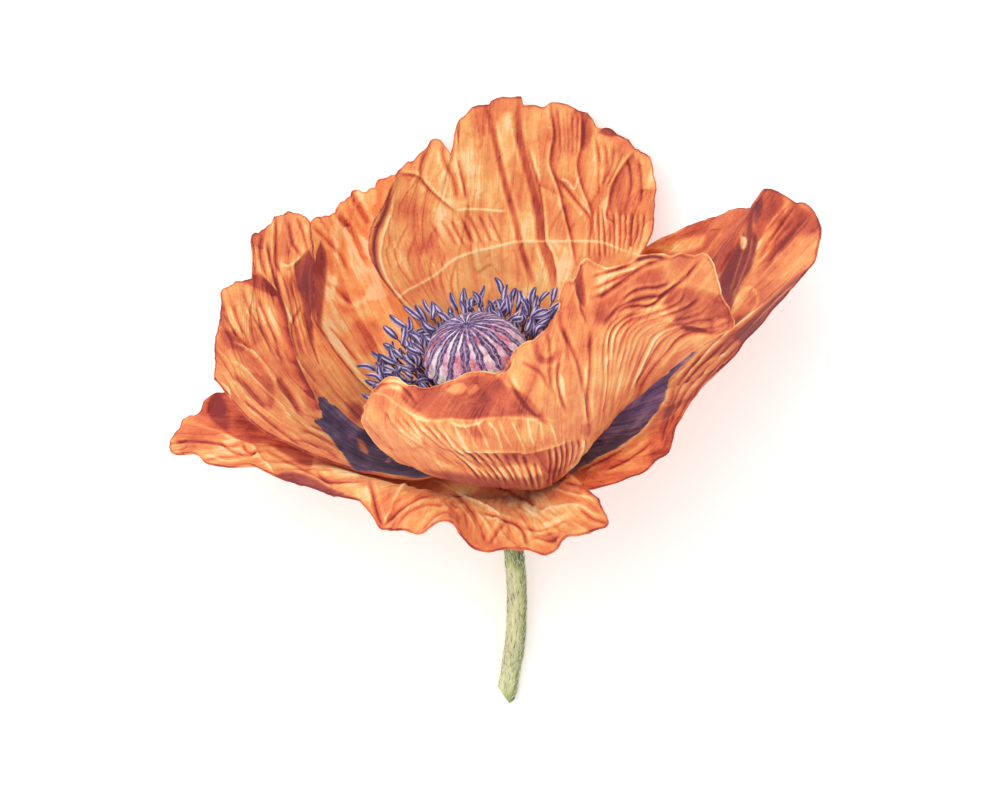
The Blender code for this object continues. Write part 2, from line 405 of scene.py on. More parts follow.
class Relief:
    """Heights and tints gathered over the points of one petal; most tints are painted light and shade."""

    def __init__(self, x: Array, y: Array) -> None:
        """Start flat over points seen from above."""
        self.x, self.y = x.ravel(), y.ravel()
        self.shape = x.shape
        self.lift = np.zeros(self.x.size)
        self.tone = np.zeros(self.x.size)
        self.plum_shade = np.zeros(self.x.size)
        self.blotch = np.zeros(self.x.size)

    def add(self, where: Any, lift: Any, tone: Any, plum_shade: Any, blotch: Any = 0.0) -> None:
        """Add to the heights and tints of some of the points.

        Args:
            where: Which points.
            lift: Height to add, in millimetres.
            tone: Lightness to add, mostly painted light and shade.
            plum_shade: Purple-red painted shade to add.
            blotch: Blotch to add.
        """
        self.lift[where] += lift
        self.tone[where] += tone
        self.plum_shade[where] += plum_shade
        self.blotch[where] += blotch

    def trace(self, line: Array, reach: float) -> tuple[Array, ...]:
        """Measure the points near a line.

        Args:
            line: Points of the line.
            reach: How far from it points still count.

        Returns:
            Distance, signed distance with left positive, place along the line from 0
            to 1, and which points these are for.
        """
        low, high = line.min(axis=0) - reach, line.max(axis=0) + reach
        near = (self.x > low[0]) & (self.x < high[0]) & (self.y > low[1]) & (self.y < high[1])
        x, y = self.x[near], self.y[near]
        best = np.full(x.size, 1e9)
        offset = np.zeros(x.size)
        place = np.zeros(x.size)
        knots = chord_knots(line)
        for index in range(len(line) - 1):
            start, run = line[index], line[index + 1] - line[index]
            length = math.hypot(*run) + TINY
            part = ((x - start[0]) * run[0] + (y - start[1]) * run[1]) / length**2
            part = np.clip(part, 0.0, 1.0)
            gap_x, gap_y = x - start[0] - part * run[0], y - start[1] - part * run[1]
            gap = np.hypot(gap_x, gap_y)
            closer = gap < best
            best = np.where(closer, gap, best)
            side = np.sign(run[0] * gap_y - run[1] * gap_x)
            offset = np.where(closer, gap * side, offset)
            along = knots[index] + part * (knots[index + 1] - knots[index])
            place = np.where(closer, along, place)
        return best, offset, place, near

    def inside(self, loop: Sequence[Point2], blur: float) -> Array:
        """Return 1 inside a closed line and 0 outside it, with a soft edge.

        Args:
            loop: The closed line.
            blur: Half of the width of its soft edge.

        Returns:
            A number from 0 to 1 for each point.
        """
        line = refine(loop, 4)
        odd = np.zeros(self.x.size, bool)
        for start, end in zip(line, line[1:]):
            if start[1] == end[1]:
                continue
            crosses = (start[1] > self.y) != (end[1] > self.y)
            at = start[0] + (self.y - start[1]) / (end[1] - start[1]) * (end[0] - start[0])
            odd ^= crosses & (self.x < at)
        distance = np.full(self.x.size, 1e9)
        measured, _, _, near = self.trace(line, blur * 1.5 + 0.5)
        distance[near] = measured
        signed = np.where(odd, distance, -distance)
        return ease(-blur, blur, signed)


# --- shader writing


class Wire:
    """A shader socket that can be used in sums."""

    def __init__(self, board: "Board", socket: bpy.types.NodeSocket) -> None:
        """Keep the socket and the board that it is on."""
        self.board = board
        self.socket = socket

    def _math(self, operation: str, first: Any, second: Any) -> "Wire":
        """Add a Math node and return its result."""
        node = self.board.node("ShaderNodeMath", {"operation": operation}, {0: first, 1: second})
        return Wire(self.board, node.outputs[0])

    def __add__(self, other: Any) -> "Wire":
        """Return this value plus another."""
        return self._math("ADD", self, other)

    def __radd__(self, other: Any) -> "Wire":
        """Return another value plus this."""
        return self._math("ADD", other, self)

    def __sub__(self, other: Any) -> "Wire":
        """Return this value less another."""
        return self._math("SUBTRACT", self, other)

    def __rsub__(self, other: Any) -> "Wire":
        """Return another value less this."""
        return self._math("SUBTRACT", other, self)

    def __mul__(self, other: Any) -> "Wire":
        """Return this value times another."""
        return self._math("MULTIPLY", self, other)

    def __rmul__(self, other: Any) -> "Wire":
        """Return another value times this."""
        return self._math("MULTIPLY", other, self)

    def __abs__(self) -> "Wire":
        """Return this value without its sign."""
        return self._math("ABSOLUTE", self, 0.0)

    def least(self, other: Any) -> "Wire":
        """Return the lesser of this value and another."""
        return self._math("MINIMUM", self, other)

    def most(self, other: Any) -> "Wire":
        """Return the greater of this value and another."""
        return self._math("MAXIMUM", self, other)


class Board:
    """The node tree of one material."""

    def __init__(self, name: str) -> None:
        """Start a material with its Principled shader."""
        self.material = bpy.data.materials.new(name)
        self.material.use_nodes = True
        self.tree = self.material.node_tree
        self.shader = self.tree.nodes["Principled BSDF"]

    def node(self, kind: str, settings: Optional[dict[str, Any]] = None,
             values: Optional[dict[Any, Any]] = None) -> bpy.types.Node:
        """Add a node.

        Args:
            kind: The node's type.
            settings: Its own settings, set first. A ramp's stops are (place, colour).
            values: A number, colour or Wire for each socket, by name or number.

        Returns:
            The node.
        """
        made = self.tree.nodes.new(kind)
        for key, value in (settings or {}).items():
            if key == "stops":
                self._stops(made.color_ramp, value)
            else:
                setattr(made, key, value)
        for key, value in (values or {}).items():
            self.feed(made.inputs[key], value)
        return made

    @staticmethod
    def _stops(ramp: bpy.types.ColorRamp, stops: Iterable[tuple[float, Colour]]) -> None:
        """Write the stops of a colour ramp."""
        for index, (place, colour) in enumerate(stops):
            stop = ramp.elements[index] if index < 2 else ramp.elements.new(place)
            stop.position = place
            stop.color = (*colour, 1.0)

    def feed(self, socket: bpy.types.NodeSocket, value: Any) -> None:
        """Link a Wire to a socket, or set its number or colour.

        Args:
            socket: The socket.
            value: The Wire, number or colour.
        """
        if isinstance(value, Wire):
            self.tree.links.new(value.socket, socket)
        elif isinstance(value, tuple) and len(value) == 3 and socket.type == "RGBA":
            socket.default_value = (*value, 1.0)
        else:
            socket.default_value = value

    def attribute(self, name: str) -> Wire:
        """Return a number stored on the mesh."""
        node = self.node("ShaderNodeAttribute", {"attribute_name": name})
        return Wire(self, node.outputs["Fac"])

    def stretch(self, vector: Wire, scale: Point3) -> Wire:
        """Return a vector scaled along each of its axes."""
        node = self.node("ShaderNodeVectorMath", {"operation": "MULTIPLY"}, {0: vector, 1: scale})
        return Wire(self, node.outputs[0])

    def uv(self) -> Wire:
        """Return the place across and along the piece."""
        return Wire(self, self.node("ShaderNodeTexCoord").outputs["UV"])

    def place(self) -> Wire:
        """Return the place in the piece's own space."""
        return Wire(self, self.node("ShaderNodeTexCoord").outputs["Object"])

    def noise(self, vector: Wire, scale: float, detail: float, roughness: float = 0.5) -> Wire:
        """Return cloudy noise between 0 and 1."""
        node = self.node("ShaderNodeTexNoise", {}, {
            "Vector": vector, "Scale": scale, "Detail": detail, "Roughness": roughness})
        return Wire(self, node.outputs["Fac"])

    def window(self, value: Any, low: float, high: float) -> Wire:
        """Return a smooth step from 0 at low to 1 at high."""
        node = self.node("ShaderNodeMapRange", {"interpolation_type": "SMOOTHSTEP"}, {
            "Value": value, "From Min": low, "From Max": high})
        return Wire(self, node.outputs[0])

    def ramp(self, value: Wire, stops: Iterable[tuple[float, Colour]]) -> Wire:
        """Return the colour of a ramp at a value."""
        node = self.node("ShaderNodeValToRGB", {"stops": stops}, {"Fac": value})
        return Wire(self, node.outputs["Color"])

    def mix(self, factor: Any, first: Any, second: Any, blend: str = "MIX") -> Wire:
        """Return one colour mixed into another."""
        node = self.node("ShaderNodeMix", {"data_type": "RGBA", "blend_type": blend}, {
            0: factor, 6: first, 7: second})
        return Wire(self, node.outputs[2])

    def bump(self, height: Wire, strength: float, distance: float) -> Wire:
        """Return a normal roughened by a height, in metres."""
        node = self.node("ShaderNodeBump", {}, {
            "Height": height, "Strength": strength, "Distance": distance})
        return Wire(self, node.outputs[0])

    def dress(self, **sockets: Any) -> bpy.types.Material:
        """Set or link the shader's sockets, named with underscores, and return the material."""
        for key, value in sockets.items():
            self.feed(self.shader.inputs[key.replace("_", " ")], value)
        return self.material


def linear(red: int, green: int, blue: int) -> Colour:
    """Return a screen colour, 0 to 255, as the linear colour of a shader.

    Args:
        red: Its red.
        green: Its green.
        blue: Its blue.

    Returns:
        The linear colour.
    """
    parts = []
    for level in (red, green, blue):
        value = level / 255.0
        parts.append(value / 12.92 if value <= 0.04045 else ((value + 0.055) / 1.055) ** 2.4)
    return tuple(parts)


# --- finishes


@dataclass(frozen=True)
class PetalFinish:
    """Papery petal: a run of oranges from deep red, painted as shade in its folds, to cream, painted as
    highlights on its creases, and its blotch.

    Attributes:
        name: Name of the material.
        veins_across: How many fine veins lie across the petal.
        vein_strength: How plainly the veins show.
        hatch_strength: How plainly the finest dark lines show.
        wash_strength: How cloudy the petal is.
        tones: The run of colours, from dark to light.
        pink: Colour of the faint blush.
        plum_shade: Colour of the purple-red painted shade.
        blotch_dark: Darkest colour of the blotch.
        blotch_mid: Middle colour of the blotch.
        blotch_light: Lightest colour of the blotch.
        painted_glow: Strength of the petal's emission in its own colour, painted light that lifts it where
            it lies in shade.
    """

    name: str
    veins_across: float = 90.0
    vein_strength: float = 0.30
    hatch_strength: float = 0.13
    wash_strength: float = 0.80
    tones: Sequence[tuple[float, Colour]] = (
        (0.00, linear(142, 52, 48)),
        (0.16, linear(182, 77, 59)),
        (0.34, linear(211, 103, 72)),
        (0.50, linear(229, 129, 84)),
        (0.62, linear(238, 149, 94)),
        (0.75, linear(246, 170, 104)),
        (0.88, linear(251, 194, 122)),
        (1.00, linear(254, 222, 168)),
    )
    pink: Colour = linear(255, 214, 222)
    plum_shade: Colour = linear(122, 58, 68)
    blotch_dark: Colour = linear(62, 44, 72)
    blotch_mid: Colour = linear(92, 70, 98)
    blotch_light: Colour = linear(150, 116, 140)
    painted_glow: float = 0.0

    def material(self) -> bpy.types.Material:
        """Return the petal's material."""
        board = Board(self.name)
        spot, here = board.uv(), board.place()
        drift = board.noise(here, 60.0, 2.0) - 0.5
        bent = board.node("ShaderNodeVectorMath", {"operation": "ADD"}, {
            0: spot, 1: board.mix(drift * 0.06 + 0.5, (-0.5, 0.0, 0.0), (0.5, 0.0, 0.0))})
        bent = Wire(board, bent.outputs[0])
        fine = board.noise(board.stretch(bent, (self.veins_across, 3.6, 1.0)), 1.0, 4.0, 0.62)
        broad = board.noise(board.stretch(bent, (self.veins_across / 4, 1.8, 1.0)), 1.0, 3.0, 0.55)
        drawn = board.noise(board.stretch(bent, (self.veins_across / 2.0, 1.3, 1.0)), 1.0, 1.5, 0.5)
        hatch = 1.0 - board.window(abs(drawn - 0.5), 0.0, 0.022)
        wash = board.noise(here, 130.0, 4.0, 0.58)
        speck = board.noise(here, 1700.0, 2.0, 0.6)
        # The stored tone carries painted shade in folds and painted highlights on creases, with veins and
        # washes of the petal's own colour.
        tone = board.attribute("tone") + (fine - 0.5) * self.vein_strength
        tone = tone + (broad - 0.5) * self.vein_strength * 0.7 - hatch * self.hatch_strength
        tone = tone + (wash - 0.5) * self.wash_strength + (speck - 0.5) * 0.22
        colour = board.ramp(tone.most(0.0).least(1.0), self.tones)
        blush = board.window(board.noise(here, 75.0, 2.0), 0.47, 0.66) * 0.22
        colour = board.mix(blush, colour, self.pink, "MULTIPLY")
        # Purple-red painted shade in the deepest folds and hollows.
        plum_shade = board.attribute("plum_shade") * (fine + 0.55)
        colour = board.mix(plum_shade.most(0.0).least(1.0), colour, self.plum_shade)
        streak = board.noise(board.stretch(bent, (self.veins_across * 0.8, 2.2, 1.0)), 1.0, 3.0, 0.6)
        edge = board.window(board.attribute("blotch") + (streak - 0.5) * 1.3, 0.30, 0.62)
        stain = board.ramp((streak - 0.5) * 0.6 + wash, (
            (0.38, self.blotch_dark), (0.52, self.blotch_mid), (0.74, self.blotch_light)))
        colour = board.mix(edge, colour, stain)
        relief = fine * 0.7 + broad * 0.8 + speck * 0.12
        # Emission in the petal's own colour paints light into a shaded petal.
        painted_glow = {"Emission_Color": colour, "Emission_Strength": self.painted_glow} if self.painted_glow else {}
        return board.dress(
            **painted_glow,
            Base_Color=colour, Roughness=0.58 + fine * 0.16, Normal=board.bump(relief, 0.5, 0.0005),
            Subsurface_Weight=0.10, Subsurface_Radius=(1.0, 0.35, 0.15), Subsurface_Scale=0.0008,
            Specular_IOR_Level=0.25, Sheen_Weight=0.10, Sheen_Roughness=0.5)


@dataclass(frozen=True)
class CapsuleFinish:
    """Seed capsule: lilac and rose ground, dark velvety rays, pale green at the rim."""

    name: str = "capsule_skin"

    def material(self) -> bpy.types.Material:
        """Return the capsule's material."""
        board = Board(self.name)
        here = board.place()
        ray, rim = board.attribute("ray"), board.attribute("rim")
        cloud = board.noise(here, 260.0, 3.0, 0.6)
        fleck = board.noise(here, 1300.0, 2.0, 0.6)
        ground = board.ramp(cloud + (fleck - 0.5) * 0.3, (
            (0.33, linear(202, 92, 102)), (0.42, linear(220, 152, 172)),
            (0.52, linear(232, 202, 220)), (0.64, linear(253, 242, 238))))
        green = board.mix(board.window(fleck, 0.35, 0.65), linear(188, 200, 150), linear(222, 226, 190))
        ground = board.mix(board.window(rim + (cloud - 0.5) * 0.8, 0.62, 0.86), ground, green)
        velvet = board.mix(board.window(fleck, 0.40, 0.66), linear(72, 56, 98), linear(156, 132, 178))
        colour = board.mix(board.window(ray + (fleck - 0.5) * 0.5, 0.36, 0.62), ground, velvet)
        return board.dress(
            Base_Color=colour, Roughness=0.62 + fleck * 0.2,
            Normal=board.bump(fleck, 0.5, 0.0003), Subsurface_Weight=0.05,
            Subsurface_Scale=0.001, Specular_IOR_Level=0.25, Sheen_Weight=0.2)


@dataclass(frozen=True)
class StamenFinish:
    """Stamens: indigo anthers with lavender highlights on dark violet filaments."""

    name: str = "stamen_dust"

    def material(self) -> bpy.types.Material:
        """Return the stamens' material."""
        board = Board(self.name)
        here = board.place()
        anther, shade = board.attribute("anther"), board.attribute("shade")
        fleck = board.noise(here, 1800.0, 2.0, 0.6)
        cloud = board.noise(here, 420.0, 2.0, 0.5)
        dust = board.ramp(shade * 0.75 + cloud * 0.35 + (fleck - 0.5) * 0.25, (
            (0.22, linear(48, 34, 72)), (0.49, linear(86, 68, 120)),
            (0.64, linear(134, 116, 168)), (0.81, linear(224, 212, 236))))
        thread = board.mix(cloud, linear(66, 40, 74), linear(120, 84, 122))
        colour = board.mix(anther, thread, dust)
        return board.dress(
            Base_Color=colour, Roughness=0.6 + fleck * 0.25,
            Normal=board.bump(fleck, 0.4, 0.0002), Specular_IOR_Level=0.3, Sheen_Weight=0.2)


@dataclass(frozen=True)
class StemFinish:
    """Stem: pale yellow-green skin, with painted shadow under the bloom and painted shade along its sides.
    """

    name: str = "stem_skin"

    def material(self) -> bpy.types.Material:
        """Return the stem's material."""
        board = Board(self.name)
        here, spot = board.place(), board.uv()
        fibre = board.noise(board.stretch(spot, (60.0, 9.0, 1.0)), 1.0, 3.0, 0.6)
        cloud = board.noise(here, 160.0, 3.0, 0.55)
        shade = board.attribute("shade")
        colour = board.ramp(shade + (fibre - 0.5) * 0.5 + (cloud - 0.5) * 0.25, (
            (0.05, linear(84, 106, 56)), (0.28, linear(130, 150, 86)),
            (0.50, linear(188, 202, 134)), (0.78, linear(240, 242, 196))))
        return board.dress(
            Base_Color=colour, Roughness=0.55 + fibre * 0.2,
            Normal=board.bump(fibre, 0.5, 0.0004), Subsurface_Weight=0.08,
            Subsurface_Scale=0.001, Specular_IOR_Level=0.35, Sheen_Weight=0.15)


@dataclass(frozen=True)
class BristleFinish:
    """Bristles of the stem: translucent straw to olive."""

    name: str = "stem_bristles"

    def material(self) -> bpy.types.Material:
        """Return the bristles' material."""
        board = Board(self.name)
        shade = board.attribute("shade")
        wisp = board.noise(board.place(), 900.0, 1.0)
        colour = board.ramp(shade + (wisp - 0.5) * 0.4, (
            (0.05, linear(116, 136, 76)), (0.24, linear(226, 232, 182)),
            (0.60, linear(254, 255, 230))))
        return board.dress(Base_Color=colour, Roughness=0.45 + wisp * 0.1,
                           Specular_IOR_Level=0.3)


@dataclass(frozen=True)
class TableFinish:
    """Plain pale table."""

    name: str = "pale_table"

    def material(self) -> bpy.types.Material:
        """Return the table's material."""
        board = Board(self.name)
        tooth = board.noise(board.place(), 220.0, 4.0, 0.6)
        colour = board.mix(tooth, (0.93, 0.93, 0.93), (0.96, 0.96, 0.96))
        return board.dress(Base_Color=colour, Roughness=0.85 + tooth * 0.05,
                           Normal=board.bump(tooth, 0.05, 0.0002), Specular_IOR_Level=0.1,
                           Emission_Color=(1.0, 1.0, 1.0, 1.0), Emission_Strength=0.22)


# --- meshes


def make_piece(name: str, points: Array, faces: Sequence[Sequence[int]],
               material: bpy.types.Material, smooth: bool = True) -> bpy.types.Object:
    """Add a mesh piece.

    Args:
        name: The piece's name.
        points: Its points in millimetres.
        faces: Its faces as lists of point numbers.
        material: Its finish.
        smooth: Whether it shades smoothly.

    Returns:
        The new object.
    """
    mesh = bpy.data.meshes.new(name)
    mesh.from_pydata((np.asarray(points) * MM).tolist(), [], faces)
    mesh.materials.append(material)
    mesh.update()
    if smooth:
        mesh.shade_smooth()
    piece = bpy.data.objects.new(name, mesh)
    bpy.context.scene.collection.objects.link(piece)
    return piece


def store(piece: bpy.types.Object, name: str, values: Array) -> None:
    """Store a number for each point of a piece."""
    layer = piece.data.attributes.new(name, "FLOAT", "POINT")
    layer.data.foreach_set("value", np.asarray(values, np.float32).ravel())


def store_uv(piece: bpy.types.Object, uv: Array) -> None:
    """Store a place across and along the piece for each point.

    Args:
        piece: The piece.
        uv: The place of each point.
    """
    mesh = piece.data
    corners = np.empty(len(mesh.loops), np.int32)
    mesh.loops.foreach_get("vertex_index", corners)
    layer = mesh.uv_layers.new(name="across_along")
    layer.data.foreach_set("uv", np.asarray(uv, np.float32)[corners].ravel())


def grid_quads(rows: int, columns: int, first: int = 0, flip: bool = False,
               closed: bool = False) -> list[tuple[int, ...]]:
    """Return the quads of a grid of points.

    Args:
        rows: Number of rows of points.
        columns: Number of points in a row.
        first: Number of the first point.
        flip: Whether the faces look the other way.
        closed: Whether the last column joins the first.

    Returns:
        The quads.
    """
    row, column = np.meshgrid(np.arange(rows - 1), np.arange(columns if closed else columns - 1),
                              indexing="ij")
    beside = (column + 1) % columns
    quads = np.stack([row * columns + column, row * columns + beside,
                      (row + 1) * columns + beside, (row + 1) * columns + column], axis=-1)
    quads = quads.reshape(-1, 4) + first
    if flip:
        quads = quads[:, ::-1]
    return [tuple(quad) for quad in quads.tolist()]


def tube_faces(rows: int, sides: int, first: int = 0, flip: bool = True) -> list[tuple[int, ...]]:
    """Return the faces of a tube that is closed at both ends.

    Args:
        rows: Number of rings of points.
        sides: Number of points in a ring.
        first: Number of the first point.
        flip: Whether the faces look the other way.

    Returns:
        The faces, with the two ends last.
    """
    end = first + (rows - 1) * sides
    faces = grid_quads(rows, sides, first, False, True)
    faces += [tuple(range(first, first + sides))[::-1], tuple(range(end, end + sides))]
    return [face[::-1] for face in faces] if flip else faces


def line_frame(line: Array, reference: Array) -> tuple[Array, Array, Array]:
    """Return the tangent and two square directions of each point of a line.

    Args:
        line: The points of the line.
        reference: A direction that the second one is square to.

    Returns:
        The three directions.
    """
    tangent = np.gradient(line, axis=0)
    tangent /= np.linalg.norm(tangent, axis=1, keepdims=True)
    across = np.cross(tangent, reference)
    across /= np.linalg.norm(across, axis=1, keepdims=True)
    return tangent, across, np.cross(tangent, across)


def unit_rings(turn: Array, across: Array, over: Array) -> Array:
    """Return a ring of unit directions for each point of a line, at the given turns."""
    return (np.cos(turn)[None, :, None] * across[:, None] +
            np.sin(turn)[None, :, None] * over[:, None])


def grid_normals(grid: Array) -> Array:
    """Return the unit normals of a grid of points."""
    normals = np.cross(np.gradient(grid, axis=1), np.gradient(grid, axis=0))
    return normals / (np.linalg.norm(normals, axis=2, keepdims=True) + TINY)


@dataclass
class Petal:
    """One crumpled petal, lofted from its claw to its rim.

    Attributes:
        name: The CAD node that it replaces.
        slot: The record's material slot; not used.
        whorl: Height of its claw along the axis.
        claw: Angles of its claw from its left edge to its right edge.
        along: Where each row stands between claw and rim.
        rows: Points of each row, the last being the rim's heights.
        outline: The rim as seen from above, finer than the last row.
        marks: Its folds, fans and patches.
        tone: Its ground tone.
        crumple: Height of its small crumples.
        ruffle: Height of the waves at its rim.
        edge_tone: How much its rim is lighter, or darker when negative.
        veins: Number of its fine veins.
        hidden: How far along it the folds start, where it turns under itself.
        spread: Its breadth, for the size of its facets.
        reach: Its length, for the size of its facets.
        facet_tone: How plainly its facets show in its colour: each has its own tone, with painted light and
            shade by its tilt and painted shade in its creases.
        crowding: Below 1, its points crowd towards the rim.
        seed: Seed of its crumples.
        columns: How many points it has across, an odd number.
        lines: How many points it has from claw to rim, an odd number.
        thickness: Its thickness, in millimetres.
    """

    name: str
    slot: str
    whorl: float
    claw: tuple[float, float]
    along: Sequence[float]
    rows: Sequence[Sequence[Point3]]
    outline: Sequence[Point2]
    marks: Sequence[Mark] = ()
    tone: float = 0.62
    crumple: float = 0.30
    ruffle: float = 0.5
    edge_tone: float = -0.62
    veins: float = 90.0
    hidden: float = 0.0
    spread: float = 75.0
    reach: float = 60.0
    facet_tone: float = 1.0
    crowding: float = 0.85
    seed: int = 1
    columns: int = 201
    lines: int = 151
    thickness: float = 0.34

    def finish(self) -> PetalFinish:
        """Return the petal's finish."""
        return PetalFinish(f"{self.name}_paper", veins_across=self.veins)

    def surface(self) -> Array:
        """Return the smooth surface of the petal as a grid of points."""
        start, end = self.claw
        claw = round_axis(np.linspace(start, end, 7), CLAW_RADIUS, self.whorl)
        rows = [claw] + [np.array(row, float) for row in self.rows[:-1]] + [self.rim()]
        across = np.linspace(0.0, 1.0, self.columns)
        ribs = np.array([smooth_curve(row, chord_knots(row), across) for row in rows])
        return self.relax(smooth_curve(ribs, np.array(self.along), self.places()[1][:, 0]))

    def relax(self, grid: Array) -> Array:
        """Return the grid with its ribs eased apart where they would cross at a notch.

        Args:
            grid: The points of the petal, which are moved.

        Returns:
            The same grid.
        """
        for _ in range(RELAX_ROUNDS):
            normals = grid_normals(grid)
            straight = np.ones(grid.shape[:2])
            straight[:, 1:-1] = (normals[:, 2:] * normals[:, :-2]).sum(axis=2)
            sharp = np.max(self.around(ease(0.97, 0.85, straight)), axis=0)[:, 1:-1, None]
            middle = (grid[:, 2:] + grid[:, :-2]) / 2
            grid[:, 1:-1] += 0.5 * sharp * (middle - grid[:, 1:-1])
        return grid

    def rim(self) -> Array:
        """Return the fine rim, with its heights read from the coarse one."""
        coarse = np.array(self.rows[-1], float)
        fine = np.array(self.outline, float)
        heights = np.interp(chord_knots(fine), chord_knots(coarse[:, :2]), coarse[:, 2])
        return np.column_stack((fine, heights))

    def relief(self, grid: Array) -> Relief:
        """Return the heights and tints of the petal's marks and crumples.

        Args:
            grid: The points of the petal.

        Returns:
            The relief.
        """
        relief = Relief(grid[..., 0], grid[..., 1])
        for mark in self.marks:
            mark.paint(relief)
        across, along = self.places()
        if self.hidden:
            relief.lift *= ease(self.hidden - 0.06, self.hidden + 0.04, along).ravel()
        noise = Crumple(self.seed)
        body = ease(0.12, 0.45, along) * ease(0.02, 0.10, self.rib_gaps(grid))
        pleat = noise.ridges(across * self.veins / 5 + noise.wave(across * 6, along * 3),
                             along * 1.6)
        dent = noise.layers(grid[..., 0] / 7.0, grid[..., 1] / 7.0, 3)
        wave = noise.wave(across * 15.0, along * 1.2 + 5.0)
        lift = body * (self.crumple * (0.6 * pleat + 0.7 * dent))
        lift = lift + self.ruffle * ease(0.72, 1.0, along) * wave
        # Painted light on the crests of the pleats and dents, painted shade in their hollows.
        tone = body * (0.06 * (pleat - 0.5) + 0.10 * dent)
        for size, depth in ((1.0, 1.0), (0.45, 0.6)):
            bend = noise.wave(across * 5.0 / size, along * 3.0 / size) * 0.6
            tilt, number, crease = noise.facets(
                across * self.spread / (5.5 * size) + bend, along * self.reach / (24.0 * size))
            line = np.exp(-((crease / 0.04) ** 2))
            lift = lift + body * depth * self.crumple * (1.4 * tilt - 0.3 * line)
            # Each facet's own tone, painted light and shade by its tilt, and painted shade in its creases.
            tint = 0.08 * number + 0.14 * tilt - 0.10 * line
            tone = tone + body * depth * self.facet_tone * tint
        relief.add(slice(None), lift.ravel(), tone.ravel(), 0.0)
        relief.lift *= ease(0.06, 0.30, along).ravel()
        self.line_edges(relief, grid, noise)
        return relief

    @staticmethod
    def rib_gaps(grid: Array) -> Array:
        """Return how far apart the ribs stand at each point, square to their run."""
        run = np.gradient(grid, axis=0)
        cell = np.linalg.norm(np.cross(run, np.gradient(grid, axis=1)), axis=2)
        return cell / (np.linalg.norm(run, axis=2) + TINY)

    def line_edges(self, relief: Relief, grid: Array, noise: Crumple) -> None:
        """Tint the rim and the two sides of the petal.

        Args:
            relief: The relief to tint.
            grid: The points of the petal.
            noise: The noise of its crumples.
        """
        across, along = self.places()
        length = np.linalg.norm(np.diff(grid, axis=0), axis=2).sum(axis=0)[None, :]
        breadth = np.linalg.norm(np.diff(grid, axis=1), axis=2).sum(axis=1)[:, None]
        from_rim = (1.0 - along) * length
        from_side = np.minimum(across, 1.0 - across) * breadth
        ragged = 0.8 + 0.5 * noise.wave(across * 30.0, along * 30.0)
        side = np.exp(-((from_side / 0.36) ** 2)) * ease(0.25, 0.5, along)
        line = np.exp(-((from_rim / 0.34) ** 2)) + side
        inner = np.exp(-(((from_rim - 0.75) / 0.3) ** 2))
        tint = self.edge_tone * ragged * line - 0.9 * max(self.edge_tone, 0.0) * inner * ragged
        relief.add(slice(None), 0.0, tint.ravel(), 0.0)

    def places(self) -> tuple[Array, Array]:
        """Return the place across and along the petal of each point."""
        across = np.broadcast_to(np.linspace(0, 1, self.columns), (self.lines, self.columns))
        along = np.linspace(0, 1, self.lines) ** self.crowding
        return across, np.broadcast_to(along[:, None], across.shape)

    def fray(self, grid: Array) -> Array:
        """Return the grid with small teeth along its rim.

        Args:
            grid: The points of the petal.

        Returns:
            The frayed grid.
        """
        across, along = self.places()
        noise = Crumple(self.seed + 50)
        teeth = noise.layers(across * 55.0, along * 0.0 + 0.5, 2) * 0.32
        outward = np.gradient(grid, axis=0)
        outward = outward / (np.linalg.norm(outward, axis=2, keepdims=True) + TINY)
        return grid + outward * (teeth * ease(0.95, 1.0, along))[..., None]

    def build(self, material: bpy.types.Material) -> bpy.types.Object:
        """Build the petal as a thin closed shell and give it to the frame.

        The shown face is fine. The far face has every second point, and lies under the
        lowest of the points round each.

        Args:
            material: Its finish.

        Returns:
            The piece.
        """
        grid = self.fray(self.surface())
        relief = self.relief(grid)
        lift = relief.lift.reshape(relief.shape)
        normals = grid_normals(grid)
        facing = 1.0 if normals[int(self.lines * 0.6):, :, 2].mean() > 0 else -1.0
        shown = grid + normals * facing * lift[..., None]
        shown[..., 2] = np.maximum(shown[..., 2], self.thickness + 0.03)
        low = np.min(self.around(lift), axis=0) - self.thickness
        far = (grid + normals * facing * low[..., None])[::2, ::2]
        far[..., 2] = np.maximum(far[..., 2], TABLE_GAP)
        count = self.lines * self.columns
        rows, columns = far.shape[:2]
        faces = grid_quads(self.lines, self.columns, 0, facing > 0)
        faces += grid_quads(rows, columns, count, facing < 0)
        faces += self.edge_faces(count, facing > 0)
        points = np.vstack((shown.reshape(-1, 3), far.reshape(-1, 3)))
        piece = make_piece(f"{self.name}_dressed", points, faces, material)
        across, along = self.places()
        # The tone carries the painted light and shade of the marks and crumples; its purple-red painted
        # shade is stored beside it.
        self.store_both(piece, "tone", self.tone + relief.tone, self.tone, 0.55)
        self.store_both(piece, "plum_shade", np.clip(relief.plum_shade, 0.0, 1.0), 0.0, 0.4)
        self.store_both(piece, "blotch", np.clip(relief.blotch, 0.0, 1.2), 0.0, 0.0)
        uv = np.stack((across, along), axis=-1)
        store_uv(piece, np.vstack((uv.reshape(-1, 2), uv[::2, ::2].reshape(-1, 2))))
        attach(piece, BODY)
        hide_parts(self.name)
        log.info("%s: %d points", piece.name, len(points))
        return piece

    def store_both(self, piece: bpy.types.Object, name: str, values: Array, ground: float,
                   through: float) -> None:
        """Store a number for each point of both faces of the petal.

        Args:
            piece: The petal.
            name: The number's name.
            values: Its values on the shown face.
            ground: Its value where nothing is drawn.
            through: How much of the drawing shows through on the far face.
        """
        sheet = values.reshape(self.lines, self.columns)
        soft = np.mean(self.around(sheet), axis=0)
        far = ground + through * (soft[::2, ::2] - ground)
        store(piece, name, np.concatenate((sheet.ravel(), far.ravel())))

    @staticmethod
    def around(sheet: Array) -> list[Array]:
        """Return the sheet shifted to each place within two points.

        Args:
            sheet: A number for each point.

        Returns:
            The 25 shifted sheets.
        """
        padded = np.pad(sheet, 2, mode="edge")
        rows, columns = sheet.shape
        return [padded[row:row + rows, column:column + columns]
                for row in range(5) for column in range(5)]

